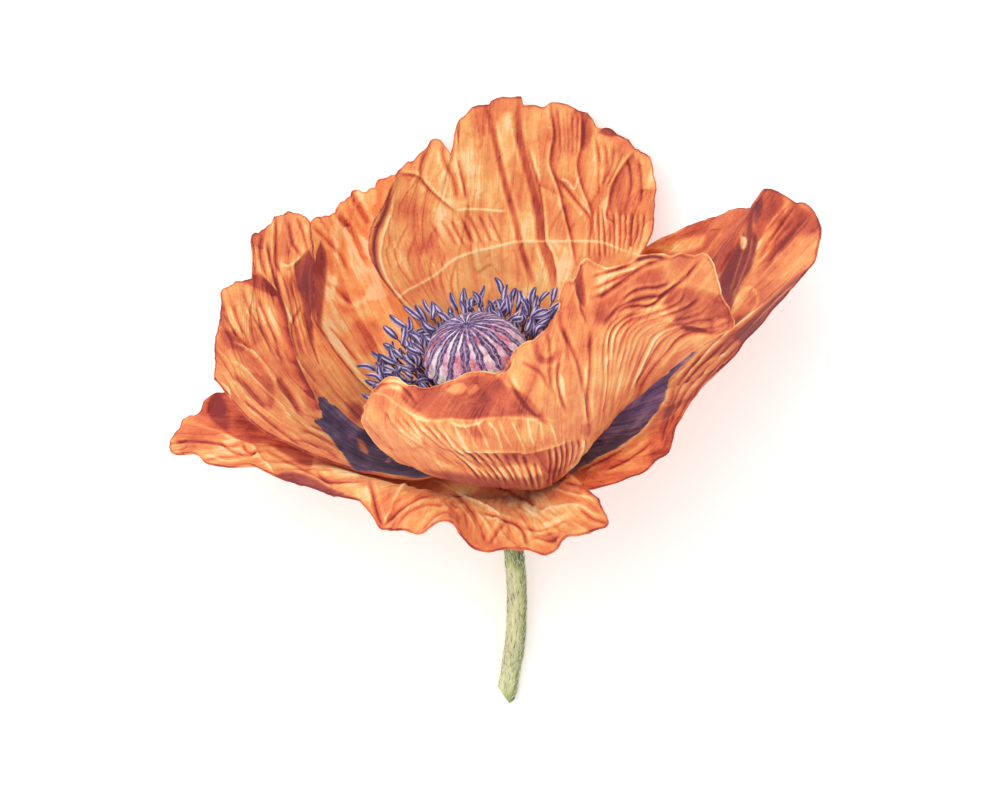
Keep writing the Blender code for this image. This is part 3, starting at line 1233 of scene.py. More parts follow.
    def edge_faces(self, count: int, flip: bool) -> list[tuple[int, ...]]:
        """Return the faces that join the two faces of the petal round its edge.

        Args:
            count: How many points the shown face has.
            flip: Whether the faces keep their order.

        Returns:
            The faces.
        """
        last, right = self.lines - 1, self.columns - 1
        coarse = right // 2 + 1
        loop = [(0, column) for column in range(right)]
        loop += [(row, right) for row in range(last)]
        loop += [(last, column) for column in range(right, 0, -1)]
        loop += [(row, 0) for row in range(last, 0, -1)]
        loop.append(loop[0])
        faces = []
        for index in range(0, len(loop) - 1, 2):
            (row, column), (end_row, end_column) = loop[index], loop[index + 2]
            fine = [place[0] * self.columns + place[1] for place in loop[index:index + 3]]
            face = (*fine, count + end_row // 2 * coarse + end_column // 2,
                    count + row // 2 * coarse + column // 2)
            faces.append(face if flip else face[::-1])
        return faces


# --- the six petals


@dataclass
class BackPetal(Petal):
    """Tall back petal, notched at its upper left, with long pleats."""

    name: str = "petal_back"
    slot: str = "inner_petal"
    whorl: float = 0.6
    claw: tuple[float, float] = (232.0, 322.0)
    along: Sequence[float] = (0.0, 0.27, 0.62, 1.0)
    rows: Sequence[Sequence[Point3]] = (
        ((-13, 11, 16), (-6, 13, 10), (3, 13.5, 8), (11, 12, 9.5), (18, 8, 16)),
        ((-28.6, 33, 15), (-19, 37, 8), (-5, 39, 4.5), (10, 40, 4), (23, 38, 7), (34.6, 34, 17)),
        ((-24, 48, 12), (-21.5, 53.5, 8), (-14, 60.2, 6), (-9, 56.5, 6), (-8.3, 63, 6), (-4.5, 67.3, 5.5),
         (-0.5, 69.5, 5), (6.5, 69.8, 5), (13, 68.4, 5), (20.5, 66.5, 6), (28, 61, 8), (34.7, 57.4, 11),
         (37.4, 50, 14), (37, 44, 15.5)),
    )
    outline: Sequence[Point2] = (
        (-24, 48), (-23.4, 50), (-22.3, 51.3), (-21.5, 53.2), (-20, 54.8), (-18.5, 55.2), (-17, 56.8),
        (-15.5, 58), (-14.3, 60), (-13.5, 60.3), (-12.5, 59.8), (-11.2, 58.4), (-10.3, 57.1), (-9.8, 56),
        (-9.5, 57.8), (-9.1, 60.2), (-8.7, 63), (-7.8, 64.8), (-6.5, 65.5), (-5.5, 66.8), (-4, 67.8),
        (-1, 68.2), (-0.7, 69), (0.5, 69.5), (3, 69.8), (6.2, 69.8), (6.8, 68), (9, 67.9), (12, 67.7),
        (13, 68.5), (14.5, 68.7), (17, 68), (20, 66.5), (21.5, 66), (22.8, 64.5), (24, 62.7), (26.5, 62.5),
        (28.5, 61), (30.5, 60), (32.5, 58), (33.5, 57.5), (35.5, 56.5), (36.5, 54.5), (37, 51), (37.3, 48),
        (37, 44),
    )
    # The tones of these marks are mostly painted shade and painted highlights; their lifts are real relief.
    marks: Sequence[Mark] = (
        Fold(((-1.5, 68), (-0.3, 62), (0.8, 57), (2, 52), (3.3, 47), (4.5, 43), (5.5, 38.5), (6.3, 35),
             (7.5, 31), (8.8, 27.5), (9.5, 25)), 0.66, -0.3, -0.5),
        Fold(((5.8, 67), (5.6, 64), (6, 60), (7, 56), (8.3, 51), (9.5, 46.5), (10.3, 42), (10.8, 37),
             (11.5, 34.5), (12.8, 31), (13.5, 28), (13.8, 24.5)), 0.9, -0.32, -0.7),
        Fold(((7.5, 60), (9, 54), (10.5, 49), (11.3, 44), (11.7, 38), (12, 36), (13.5, 33), (14.3, 29),
             (14.4, 25)), 0.35, lift=0.5, profile=Profile.LEFT_UP),
        Fold(((13, 68), (13.5, 65), (14, 61), (13.3, 57), (13.2, 54), (14.3, 51), (15.5, 47.5), (16, 45),
             (17, 41), (18, 37), (18.7, 33), (19, 31)), 0.55, -0.45, 0.7, profile=Profile.RIGHT_UP),
        Fold(((14.5, 51), (16, 49.5), (18, 47), (20, 44.5), (22, 42), (22.3, 39), (22, 35), (22, 31.5)),
             0.45, -0.35, -0.4),
        Fold(((20.2, 66.5), (20.5, 63), (20.3, 58), (19.5, 54.5), (20, 51), (21, 48), (22.3, 45),
             (22.8, 41)), 0.55, lift=0.7, profile=Profile.RIGHT_UP),
        Patch(((20, 66), (22.3, 65), (22.6, 60), (20.5, 57.5)), -0.22, 0.8, -0.2),
        Fold(((33, 57.5), (31, 55), (29, 52), (27.5, 49), (27, 45), (26.5, 42), (28, 40.5)), 0.5, -0.38,
             0.6, profile=Profile.RIGHT_UP),
        Patch(((24.2, 61.4), (25.5, 62.6), (28.6, 61.2), (27, 60.6)), -0.32, 0.5, -0.4, plum_shade=0.3),
        Patch(((31, 54.5), (33, 56), (33.5, 50), (30.5, 43), (28.5, 43), (28.6, 50)), -0.16, 1.2),
        Patch(((-20, 21), (-12, 28), (0, 31), (12, 31), (20, 26), (0, 20)), 0.1, 4.0),
        Patch(((-27, 28), (-25, 46), (-15, 58), (-9, 55), (-5, 42), (-8, 30)), 0.06, 3.0),
        Fold(((31, 55), (31.8, 50), (31, 46)), tone=-0.28, lift=-0.3),
        Fold(((33.5, 56), (34, 50), (33.5, 45)), tone=-0.25, lift=-0.3),
        Fan(((22.5, 44), (23, 38), (23.3, 32)), ((34.5, 43), (34, 38), (33, 34)), 10, 0.32, lift=-0.3,
            seed=3),
        Fan(((14.6, 67.5), (15, 62), (15.5, 57)), ((19.2, 66), (19.4, 61), (19, 56)), 5, 0.28, -0.26, -0.2,
            4),
        Fan(((23.5, 61), (24.5, 55), (24, 48)), ((30, 57), (28.5, 53), (26, 49)), 4, 0.35, -0.22, -0.2, 9),
        Fold(((-9, 43.5), (-6, 43.8), (-2, 43.7), (1, 43.4), (3.3, 43.4)), 0.24, 0.34, 0.15),
        Fold(((-26, 19.5), (-20, 25), (-17, 26.5), (-13, 29), (-9.5, 32), (-5, 33.8), (0, 35), (5, 36.2),
             (10, 36.4), (15, 36.3), (20, 36.4), (25, 36.1), (28, 35), (31, 33.8), (33.5, 33.2)), 0.26,
             0.36, 0.18),
        Fold(((15, 50.8), (17, 50.3), (18.5, 48.5), (19.5, 50.5), (20.3, 52)), 0.22, 0.3, 0.15),
        Fold(((-22, 52), (-18, 51.5), (-16, 49.5), (-13, 46.5), (-10, 44), (-8.8, 43.3)), 0.5, -0.3, 0.8,
             profile=Profile.LEFT_UP),
        Fold(((-12, 59), (-11.5, 55), (-9.5, 51), (-8.5, 46)), 0.6, -0.28, -0.6),
        Fold(((-16, 57), (-17, 52), (-15, 48)), 0.5, -0.22, -0.4),
        Fold(((-8.7, 55.5), (-7.5, 51), (-6.5, 46)), tone=-0.35, lift=0.5, profile=Profile.RIGHT_UP),
        Patch(((-24, 47), (-19, 46), (-14, 42), (-14, 35), (-20, 33), (-25, 37)), -0.16, 2.5),
        Fan(((-14.5, 41), (-11, 35)), ((-1, 43), (2, 36)), 7, 0.32, -0.26, -0.25, 5),
        Fan(((-20, 40), (-22, 33), (-19, 26)), ((-9, 32), (-10, 27), (-9, 23)), 6, tone=-0.16, lift=-0.2,
            seed=6),
        Fold(((-24, 49), (-24.5, 47), (-25, 44.5), (-26, 41.5), (-27.3, 38.5), (-27.8, 35), (-27.5, 32),
             (-26.5, 28.5), (-24.5, 25), (-22, 21.8), (-19.5, 19)), 0.62, -0.44, plum_shade=0.5),
        Fold(((-23, 46), (-24.6, 41), (-26, 37), (-26.2, 32), (-24.8, 28), (-22.5, 24.5), (-19.5, 21)),
             0.35, 0.22, 0.3),
        Patch(((-6, 34), (0, 34), (3, 31), (0, 28.5), (-5, 29)), 0.06, plum_shade=0.14),
        Patch(((-4, 62), (-1, 60), (1, 50), (1, 44), (-5, 46), (-7, 55)), 0.1, 3.0),
        Patch(((1.5, 66), (4.5, 66), (5, 58), (3, 55), (1, 60)), 0.14, 1.2),
        Patch(((7, 46), (9.3, 44), (10, 37), (7, 36)), 0.12, 1.2),
        Patch(((14, 36), (17, 35), (18, 31), (15, 29)), 0.18),
        Patch(((-25, 42), (-21, 42), (-19, 37), (-24, 34)), 0.14, 2.0),
        Patch(((4.5, 35), (8, 33), (9, 27), (5, 26)), -0.1),
        Patch(((-11, 54), (-7, 54), (-6, 47), (-11, 47)), -0.12, 2.0),
        Patch(((15.5, 57), (19, 56), (19, 51), (15, 52)), 0.1),
        Patch(((23, 61), (28, 59), (27, 53), (23, 52)), 0.1, 2.0),
    )
    tone: float = 0.66
    ruffle: float = 0.7
    veins: float = 110.0
    seed: int = 11
    columns: int = 273
    lines: int = 251


@dataclass
class BackLeftPetal(Petal):
    """Narrow strip of the back left petal, under its two neighbours."""

    name: str = "petal_back_left"
    slot: str = "outer_petal"
    whorl: float = -1.2
    claw: tuple[float, float] = (180.0, 262.0)
    along: Sequence[float] = (0.0, 0.27, 0.66, 1.0)
    rows: Sequence[Sequence[Point3]] = (
        ((-22, -8, 22), (-22, -4, 18), (-18.5, 0, 13), (-13, 5, 9.5), (-6, 8, 8)),
        ((-44, 13, 24), (-42, 20, 16), (-35, 28, 6), (-26, 33, 1.3), (-14, 34, 0.49), (-6, 31, 1.1)),
        ((-49, 20, 27), (-47, 28, 21), (-44, 36, 13), (-38.7, 42.2, 9), (-35.8, 44.5, 7.5),
         (-32.4, 48.3, 5.5), (-28.4, 48.6, 4.5), (-26.6, 50.8, 4), (-22, 52, 2.6), (-15, 50, 1.7),
         (-8, 46, 1.3)),
    )
    outline: Sequence[Point2] = (
        (-49, 20), (-47, 28), (-44.5, 36), (-42.3, 40.8), (-41, 41.8), (-39.5, 42.2), (-37, 42.6),
        (-36.3, 43), (-36, 45.3), (-34.5, 45.7), (-33, 47), (-32.5, 48.5), (-31.5, 48.6), (-30.5, 47.8),
        (-29.5, 47.7), (-28.7, 48.6), (-27.5, 48.5), (-26.8, 50.5), (-26, 50.8), (-24.5, 51.3), (-22, 52),
        (-15, 50), (-8, 46),
    )
    # The tones of these marks are mostly painted shade and painted highlights; their lifts are real relief.
    marks: Sequence[Mark] = (
        Fold(((-36.3, 43), (-34, 40), (-32, 37), (-30.5, 33.5), (-29, 31)), 0.8, -0.38, -0.4),
        Fold(((-32.5, 47), (-30.5, 43), (-28.5, 40)), 0.8, -0.34, -0.4),
        Fold(((-42, 40), (-38, 36), (-35, 32.5), (-33.5, 29)), 0.6, -0.3, -0.3),
        Patch(((-40, 36.5), (-41.8, 30), (-41.8, 22), (-41, 14), (-40, 10), (-39.8, 16), (-39.7, 20),
              (-39, 26), (-38.7, 33)), -0.44, 0.5, -0.3, plum_shade=0.4),
        Fold(((-39.8, 16), (-38, 11), (-35.5, 6), (-33, 1)), 0.6, plum_shade=0.4),
        Fold(((-38.5, 17), (-34, 12), (-31, 8)), 0.35, -0.3, -0.3),
        Fold(((-39, 14), (-35, 9), (-31.5, 5)), 0.35, -0.3, -0.3),
        Fold(((-38.5, 11), (-34, 4), (-31, 0)), tone=-0.34, lift=-0.3),
        Fold(((-37, 36), (-36.5, 30), (-37.5, 24)), 0.7, 0.2, 0.3),
        Fold(((-39, 27), (-36, 25), (-33, 22)), 0.6, -0.22, -0.2),
        Patch(((-38, 26), (-33, 30), (-28, 28), (-30, 24), (-36, 21)), -0.1, 1.2),
        Patch(((-33, 24), (-29, 22), (-27, 18), (-31, 18)), 0.14, 1.2),
        Patch(((-34, 17), (-28, 19), (-26, 13), (-31, 10)), -0.2, 1.6),
        Fold(((-38.5, 24), (-33, 21.5), (-27, 25), (-26, 26)), 0.8, 0.16, 0.2),
        Patch(((-38, 18), (-35, 19), (-34, 15), (-37, 13)), 0.06, plum_shade=0.1),
    )
    tone: float = 0.8
    facet_tone: float = 1.2
    spread: float = 60.0
    crumple: float = 0.16
    ruffle: float = 0.35
    seed: int = 23
    columns: int = 141
    lines: int = 131

    def finish(self) -> PetalFinish:
        """Return the petal's finish, with an emission that paints light into it where it lies in shade."""
        return replace(super().finish(), painted_glow=0.15)


@dataclass
class LeftPetal(Petal):
    """Left petal, folded into a tall hollow, with the plainest blotch."""

    name: str = "petal_left"
    slot: str = "inner_petal"
    whorl: float = 0.6
    claw: tuple[float, float] = (212.0, 135.0)
    along: Sequence[float] = (0.0, 0.3, 0.68, 1.0)
    rows: Sequence[Sequence[Point3]] = (
        ((-25, -1, 22.5), (-28, -6.5, 26), (-28.5, -12, 32), (-25, -16.5, 39), (-19, -18.5, 45)),
        ((-41.6, 19, 31), (-43.6, 21, 27.5), (-47.6, 20, 29), (-53, 14, 34), (-55, 5, 41),
         (-51, -8.5, 50)),
        ((-41.8, 35, 28), (-42.6, 41, 25), (-48, 43, 25), (-53, 39.5, 27), (-55.6, 35, 29),
         (-55.5, 29, 31), (-62.5, 25, 35), (-63.3, 17.5, 39.5), (-64, 10, 44), (-64.4, 4.5, 48)),
    )
    outline: Sequence[Point2] = (
        (-41.8, 35), (-42, 38.5), (-42.5, 41), (-44, 42.2), (-45.5, 43), (-48, 43), (-49, 42.2),
        (-50.5, 42), (-51.5, 40.5), (-53, 39.3), (-54.2, 38.2), (-55.5, 38), (-55.8, 37), (-55.3, 34),
        (-55.5, 31), (-55, 28.5), (-58, 27.2), (-60.5, 26.3), (-62.7, 25), (-62.5, 22), (-63.3, 17.5),
        (-64, 13), (-64, 8.5), (-64.4, 4.5),
    )
    # The tones of these marks are mostly painted shade and painted highlights, their lifts real relief; the
    # blotch is the petal's own colour.
    marks: Sequence[Mark] = (
        Fold(((-54.5, 29), (-52, 26), (-50, 23.5), (-48.8, 20), (-48.2, 16), (-47, 11), (-45.7, 7),
             (-43.5, 2.5), (-41.3, -1.5), (-40.5, -3)), 0.6, -0.45, 1.4, profile=Profile.LEFT_UP),
        Patch(((-58.5, 27), (-54.5, 28.5), (-50, 23.5), (-53, 24.5)), -0.3, 0.7),
        Fold(((-50.3, 42), (-50.3, 36), (-50.2, 30), (-49.8, 26), (-48.7, 21)), 0.5, -0.32, -0.5),
        Fold(((-47.5, 41), (-46.5, 36), (-44.5, 33)), 0.45, -0.3, -0.4),
        Fold(((-45.5, 42), (-44, 38), (-43, 34)), tone=-0.28, lift=-0.4),
        Fold(((-53.5, 38), (-53.8, 33), (-52.5, 28)), 0.5, -0.25, -0.4),
        Fold(((-49, 31), (-47.5, 30.5), (-44, 33)), 0.5, 0.28, 0.4),
        Patch(((-46, 31), (-45.5, 27), (-44.2, 22), (-43.5, 18), (-42, 12), (-40.5, 8), (-41.5, 13),
              (-42.2, 22), (-42.3, 34)), -0.4, 0.6, -0.8, plum_shade=0.35),
        Fold(((-44.2, 21.5), (-46.8, 16.5), (-45.5, 8)), tone=-0.28, lift=-0.4),
        Fan(((-51, 33), (-48, 26), (-46.5, 18), (-44.5, 9)), ((-46.5, 29), (-45.2, 24), (-44, 18),
            (-41.8, 10)), 4, 0.32, -0.22, -0.3, 31),
        Fold(((-62.5, 22), (-60, 16), (-57, 12.5), (-55, 11)), 0.5, -0.32, -0.5),
        Fold(((-60, 22), (-58.5, 17), (-56, 12)), 0.45, -0.28, -0.4),
        Fold(((-62, 20.5), (-59.5, 15.5)), tone=0.3, lift=0.4),
        Fold(((-58, 25), (-56, 20), (-53, 15), (-50.5, 10)), 0.5, -0.26, -0.5),
        Fold(((-54.5, 24), (-52.5, 19), (-50.5, 14), (-48.5, 8)), 0.45, -0.28, -0.4),
        Fold(((-61, 13), (-57, 11.5), (-54, 8.5), (-51, 4.5), (-49, 3)), 0.5, 0.3, 0.6),
        Fold(((-60, 5.5), (-57, 3), (-55, 0.5), (-52, -2.5)), 0.8, -0.34, -0.6),
        Fold(((-50, 5), (-47, 1), (-44.5, -3.5)), 0.8, -0.34, -0.6),
        Fold(((-62, 9), (-58, 7), (-54, 3), (-50, -1), (-46, -6)), 0.45, 0.2, 0.4),
        Fold(((-58, 0), (-53, -4), (-48, -8), (-44, -11)), 0.45, -0.28, -0.4),
        Patch(((-63.5, 16), (-60, 15), (-57.5, 11), (-62, 12)), -0.22, 0.9),
        Patch(((-62.5, 21.5), (-60, 16), (-56, 10.5), (-52, 6), (-50.5, 1), (-51.5, -2.5), (-53, 2),
              (-57, 7.5), (-61, 13), (-63.3, 17)), -0.16, 0.7),
        Patch(((-57, 19), (-54, 17.5), (-53, 14), (-55.5, 12), (-56.5, 15)), -0.14, 0.7),
        Patch(((-50.5, 12), (-48, 8), (-46, 3), (-45, -3), (-47, 0), (-49.5, 5), (-51, 9)), -0.06, 0.7),
        Patch(((-54, 38), (-51, 41.5), (-46, 42), (-45, 33), (-50, 29), (-54, 31)), -0.08),
        Patch(((-60, 22), (-53, 24), (-50, 18), (-53, 17), (-58, 17)), 0.12, 1.2),
        Fold(((-52.3, 36), (-50.8, 28.5), (-49.2, 22)), lift=-0.4),
        Fold(((-55, 21), (-54, 18.5), (-53.3, 16.5)), tone=-0.25, lift=-0.3),
        Fan(((-42, -2), (-36, -4.5), (-31, -8)), ((-46, -9), (-41, -11), (-35, -14)), 5, 0.35, -0.22, -0.25,
            32),
        Patch(((-40.6, 0.4), (-38.6, -0.2), (-38.2, -1.2), (-36, -2), (-32.6, -5.2), (-29.6, -7),
              (-24, -5.5), (-15, -3), (-8, -8), (-10, -16), (-16.8, -18.2), (-21.4, -17.7), (-27, -17),
              (-31.5, -16.2), (-34, -14), (-36.3, -10.6), (-39, -7.6), (-41.4, -5), (-39.6, -4.4),
              (-40.2, -1.8)), blur=1.3, lift=-0.2, blotch=1.0),
        Patch(((-32, -8.8), (-30.4, -9), (-28.8, -11.6), (-29, -13.2), (-30.8, -12)), -0.1, blotch=-0.62),
        Patch(((-25.6, -14.2), (-24.2, -13.6), (-23.4, -14.4), (-24.8, -14.9)), blur=1.2, blotch=-0.6),
        Patch(((-34, -1), (-31, -1.5), (-30, -5), (-32, -5)), -0.3, 1.6, plum_shade=0.35),
        Fold(((-64, 4), (-61.3, 2.2), (-60.4, -0.6), (-57.8, -3.6), (-55, -7), (-51.2, -8.9),
             (-49.5, -10.6), (-46, -12.2), (-43.6, -14.6), (-41, -16.4)), 0.5, 0.34, 0.4),
    )
    ruffle: float = 0.6
    seed: int = 37
    columns: int = 231
    lines: int = 191


@dataclass
class OuterFrontPetal(Petal):
    """Lower front petal, bent outwards, with its tip far to the left."""

    name: str = "petal_outer_front"
    slot: str = "outer_petal"
    whorl: float = -1.2
    claw: tuple[float, float] = (165.0, 75.0)
    along: Sequence[float] = (0.0, 0.28, 0.62, 1.0)
    rows: Sequence[Sequence[Point3]] = (
        ((-24.5, -12, 26.5), (-21.5, -19, 32), (-15, -22.3, 39), (-6.5, -22.5, 43), (3, -21.5, 44),
         (13.4, -15.6, 44)),
        ((-52, 0, 33), (-49, -9, 37.5), (-39, -15, 45), (-26, -19, 54), (-13, -22, 60), (1, -24, 63),
         (10.5, -24, 65), (18.6, -17.9, 66)),
        ((-60, 3, 31), (-66, 1, 30.5), (-70, -4, 32), (-75, -9.5, 36), (-73, -13, 39), (-66.5, -14.5, 42),
         (-60, -15.6, 45), (-50, -17.5, 50), (-37, -21.7, 57), (-27, -27.6, 64), (-24.5, -30, 66),
         (-16.7, -30.6, 71), (-11.4, -28.3, 74), (-4.5, -34, 78), (2.4, -34.4, 80), (11.5, -35.4, 82),
         (16, -31.6, 83), (22, -30, 84), (26.2, -28.2, 84), (23.3, -22.8, 78)),
    )
    outline: Sequence[Point2] = (
        (-60, 3), (-61.8, 1.9), (-64, 1.7), (-66, 0.5), (-67, -1), (-68, -3.5), (-70.5, -4.2), (-72, -5.2),
        (-72.5, -6.8), (-74, -8.3), (-74.6, -9.5), (-74.4, -12.6), (-73, -13.3), (-71, -12.8), (-68, -11.8),
        (-66.7, -14.6), (-62, -15.5), (-60, -15.6), (-56, -14.8), (-54, -15.7), (-50, -17.4), (-47, -18.3),
        (-43, -19.5), (-40, -20.5), (-36, -22), (-33, -22.8), (-30.5, -23.8), (-29, -25), (-27.5, -27),
        (-26, -29.8), (-24, -30.2), (-20, -30.1), (-17, -30.6), (-14, -28.8), (-11, -28), (-7.5, -30.8),
        (-6, -32.5), (-4.5, -34.2), (-2, -35.2), (-0.5, -35), (1, -34.2), (7.5, -34.3), (9.5, -35),
        (11.5, -35.5), (13.5, -35), (14.5, -33.8), (16, -31.6), (18, -31.5), (21.5, -30.6), (22.5, -29.8),
        (26, -28.6), (26.2, -27.9), (24, -24.5), (23.3, -22.8),
    )
    # The tones of these marks are mostly painted shade and painted highlights; their lifts are real relief.
    marks: Sequence[Mark] = (
        Patch(((-64.5, 2), (-66, -2), (-65, -5), (-62, -7.5), (-60, -9), (-57.5, -10), (-52, -10.5),
              (-49, -12.2), (-46, -14), (-42, -15.8), (-42, -10), (-50, -5), (-56, 0), (-60, 4)), -0.34,
              0.9, -0.3),
        Fold(((-74.5, -9.6), (-67, -9.8), (-60.5, -11), (-58, -10.2)), 0.45, -0.34, -0.4),
        Fold(((-66.5, -14.4), (-63, -13.5), (-58, -13.3)), tone=-0.3, lift=-0.3),
        Patch(((-73, -9.5), (-69, -10.5), (-68.5, -12), (-72, -12.6)), -0.16, 0.8),
        Fold(((-71, -5.5), (-67, -6.5), (-62, -8.5), (-57, -10.4)), 0.5, 0.2, 0.4),
        Fold(((-57, -10.5), (-55, -11.5), (-54, -13.5), (-50.3, -17.3)), tone=0.26, lift=0.4),
        Fold(((-53, -11.5), (-48, -14), (-42, -17), (-37, -19.5)), 0.5, -0.22, -0.4),
        Patch(((-50, -17.4), (-48.5, -16.7), (-44, -17.2), (-41, -18.3), (-35.5, -21.5), (-30.5, -23.8),
              (-36, -22.4), (-43, -19.9)), -0.34, 0.5, -0.4, plum_shade=0.45),
        Fold(((-41, -16.5), (-38.5, -18.5), (-35, -19), (-30, -19)), 0.5, -0.32, -0.5),
        Patch(((-38, -15.8), (-33, -16), (-31, -17.6), (-36, -17.8)), 0.16, 1.0),
        Patch(((-33, -21), (-29, -20.5), (-28, -23), (-31, -23.2)), 0.16, 1.0),
        Fold(((-28.5, -19), (-27, -25), (-25.5, -29.5)), 0.6, -0.38, -0.6),
        Fold(((-25.5, -30), (-24, -26), (-21.5, -21), (-19, -19)), 0.5, 0.24, 0.5),
        Fold(((-26, -30), (-22, -26), (-17, -22.5), (-14, -22)), 0.5, -0.34, -0.5),
        Fold(((-22, -29.5), (-19.5, -26), (-15, -24), (-11, -24.5)), 0.45, -0.22, -0.4),
        Fold(((-10.5, -20.5), (-8, -22.5), (-5, -26), (-3, -29.5), (-2, -33.5)), 0.6, -0.36, -0.4),
        Fold(((-15, -18.2), (-11.5, -19.9), (-6.4, -22.8), (-1.2, -25), (2.2, -27.4)), 0.32, 0.26, 0.5),
        Fold(((-3, -26), (2.2, -27.4), (4.8, -28.6), (6.4, -29.9), (7.2, -32), (7.7, -34.3)), tone=-0.36,
             lift=-0.5),
        Fold(((2.5, -27.8), (0, -31.5), (-1.2, -33.2)), 0.5, -0.3, -0.5),
        Fold(((0.5, -20), (4, -21.3), (9.7, -24.3)), 0.6, -0.36, -0.5),
        Patch(((6.6, -24.4), (9.6, -24.6), (9.4, -26.8), (7.4, -26.6)), 0.3, 0.8),
        Patch(((9, -30), (14, -27.8), (18.6, -24.6), (19.6, -26), (15, -28.8), (10, -31.2)), 0.16, 0.9),
        Patch(((9.4, -31), (13.7, -30.8), (14.2, -33.4)), -0.26, 0.8),
        Patch(((3, -22.6), (5.4, -22.8), (5, -24.4), (3.4, -24.4)), 0.22, 0.8),
        Fold(((10, -26.5), (15, -25), (19, -24.5), (24, -27.5)), 0.6, 0.24, 0.5),
        Fold(((19.5, -25), (22, -27), (26, -28.3)), 0.5, -0.32, -0.4),
        Fold(((13.5, -20.7), (18, -22), (22, -22.8), (23.3, -24)), tone=0.28, lift=0.3),
        Fold(((16, -19.3), (20, -20.2), (22.5, -22.3)), 0.5, -0.32),
        Fold(((7, -29.5), (10, -30), (14, -29), (17, -27.5)), 0.5, -0.28, -0.5),
        Fold(((9, -31.5), (13, -32.5), (15, -31)), 0.45, -0.26, -0.4),
        Fold(((-16.5, -30), (-14.5, -27.5), (-12, -26), (-10, -25.7)), 0.5, -0.28, -0.5),
        Fan(((-8, -30), (-9, -26), (-12, -23)), ((1, -33), (-0.5, -29), (-4, -25)), 5, tone=-0.14,
            lift=-0.15, seed=41),
        Fan(((3, -33), (3, -29), (1, -25)), ((19, -30), (14, -27), (8, -24)), 6, tone=-0.12, lift=-0.12,
            seed=42),
        Patch(((-12, -20), (0, -22), (12, -22), (16, -27), (10, -31), (0, -31), (-6, -27)), 0.04, 3.0),
        Patch(((-74, -7), (-70, -5), (-64, 1), (-61, -4), (-63, -11), (-73, -10)), -0.2),
        Fan(((-74.6, -10.4), (-72.5, -10), (-70.5, -9.6)), ((-73.6, -13), (-72, -12.8), (-70.5, -12)), 4,
            0.25, -0.34, -0.3, 43),
        Fold(((-63.5, -9.8), (-60.5, -12), (-56, -13), (-54, -11.3)), 0.3, -0.34, -0.3),
        Fold(((-58, -10.4), (-56.6, -12.3), (-53, -12.2)), 0.3, -0.34, -0.3),
        Fold(((-66, -12.8), (-61, -14.6), (-57, -13.9)), 0.3, 0.24, 0.3),
    )
    tone: float = 0.7
    facet_tone: float = 0.7
    spread: float = 110.0
    reach: float = 45.0
    crumple: float = 0.24
    ruffle: float = 0.7
    seed: int = 41
    columns: int = 321


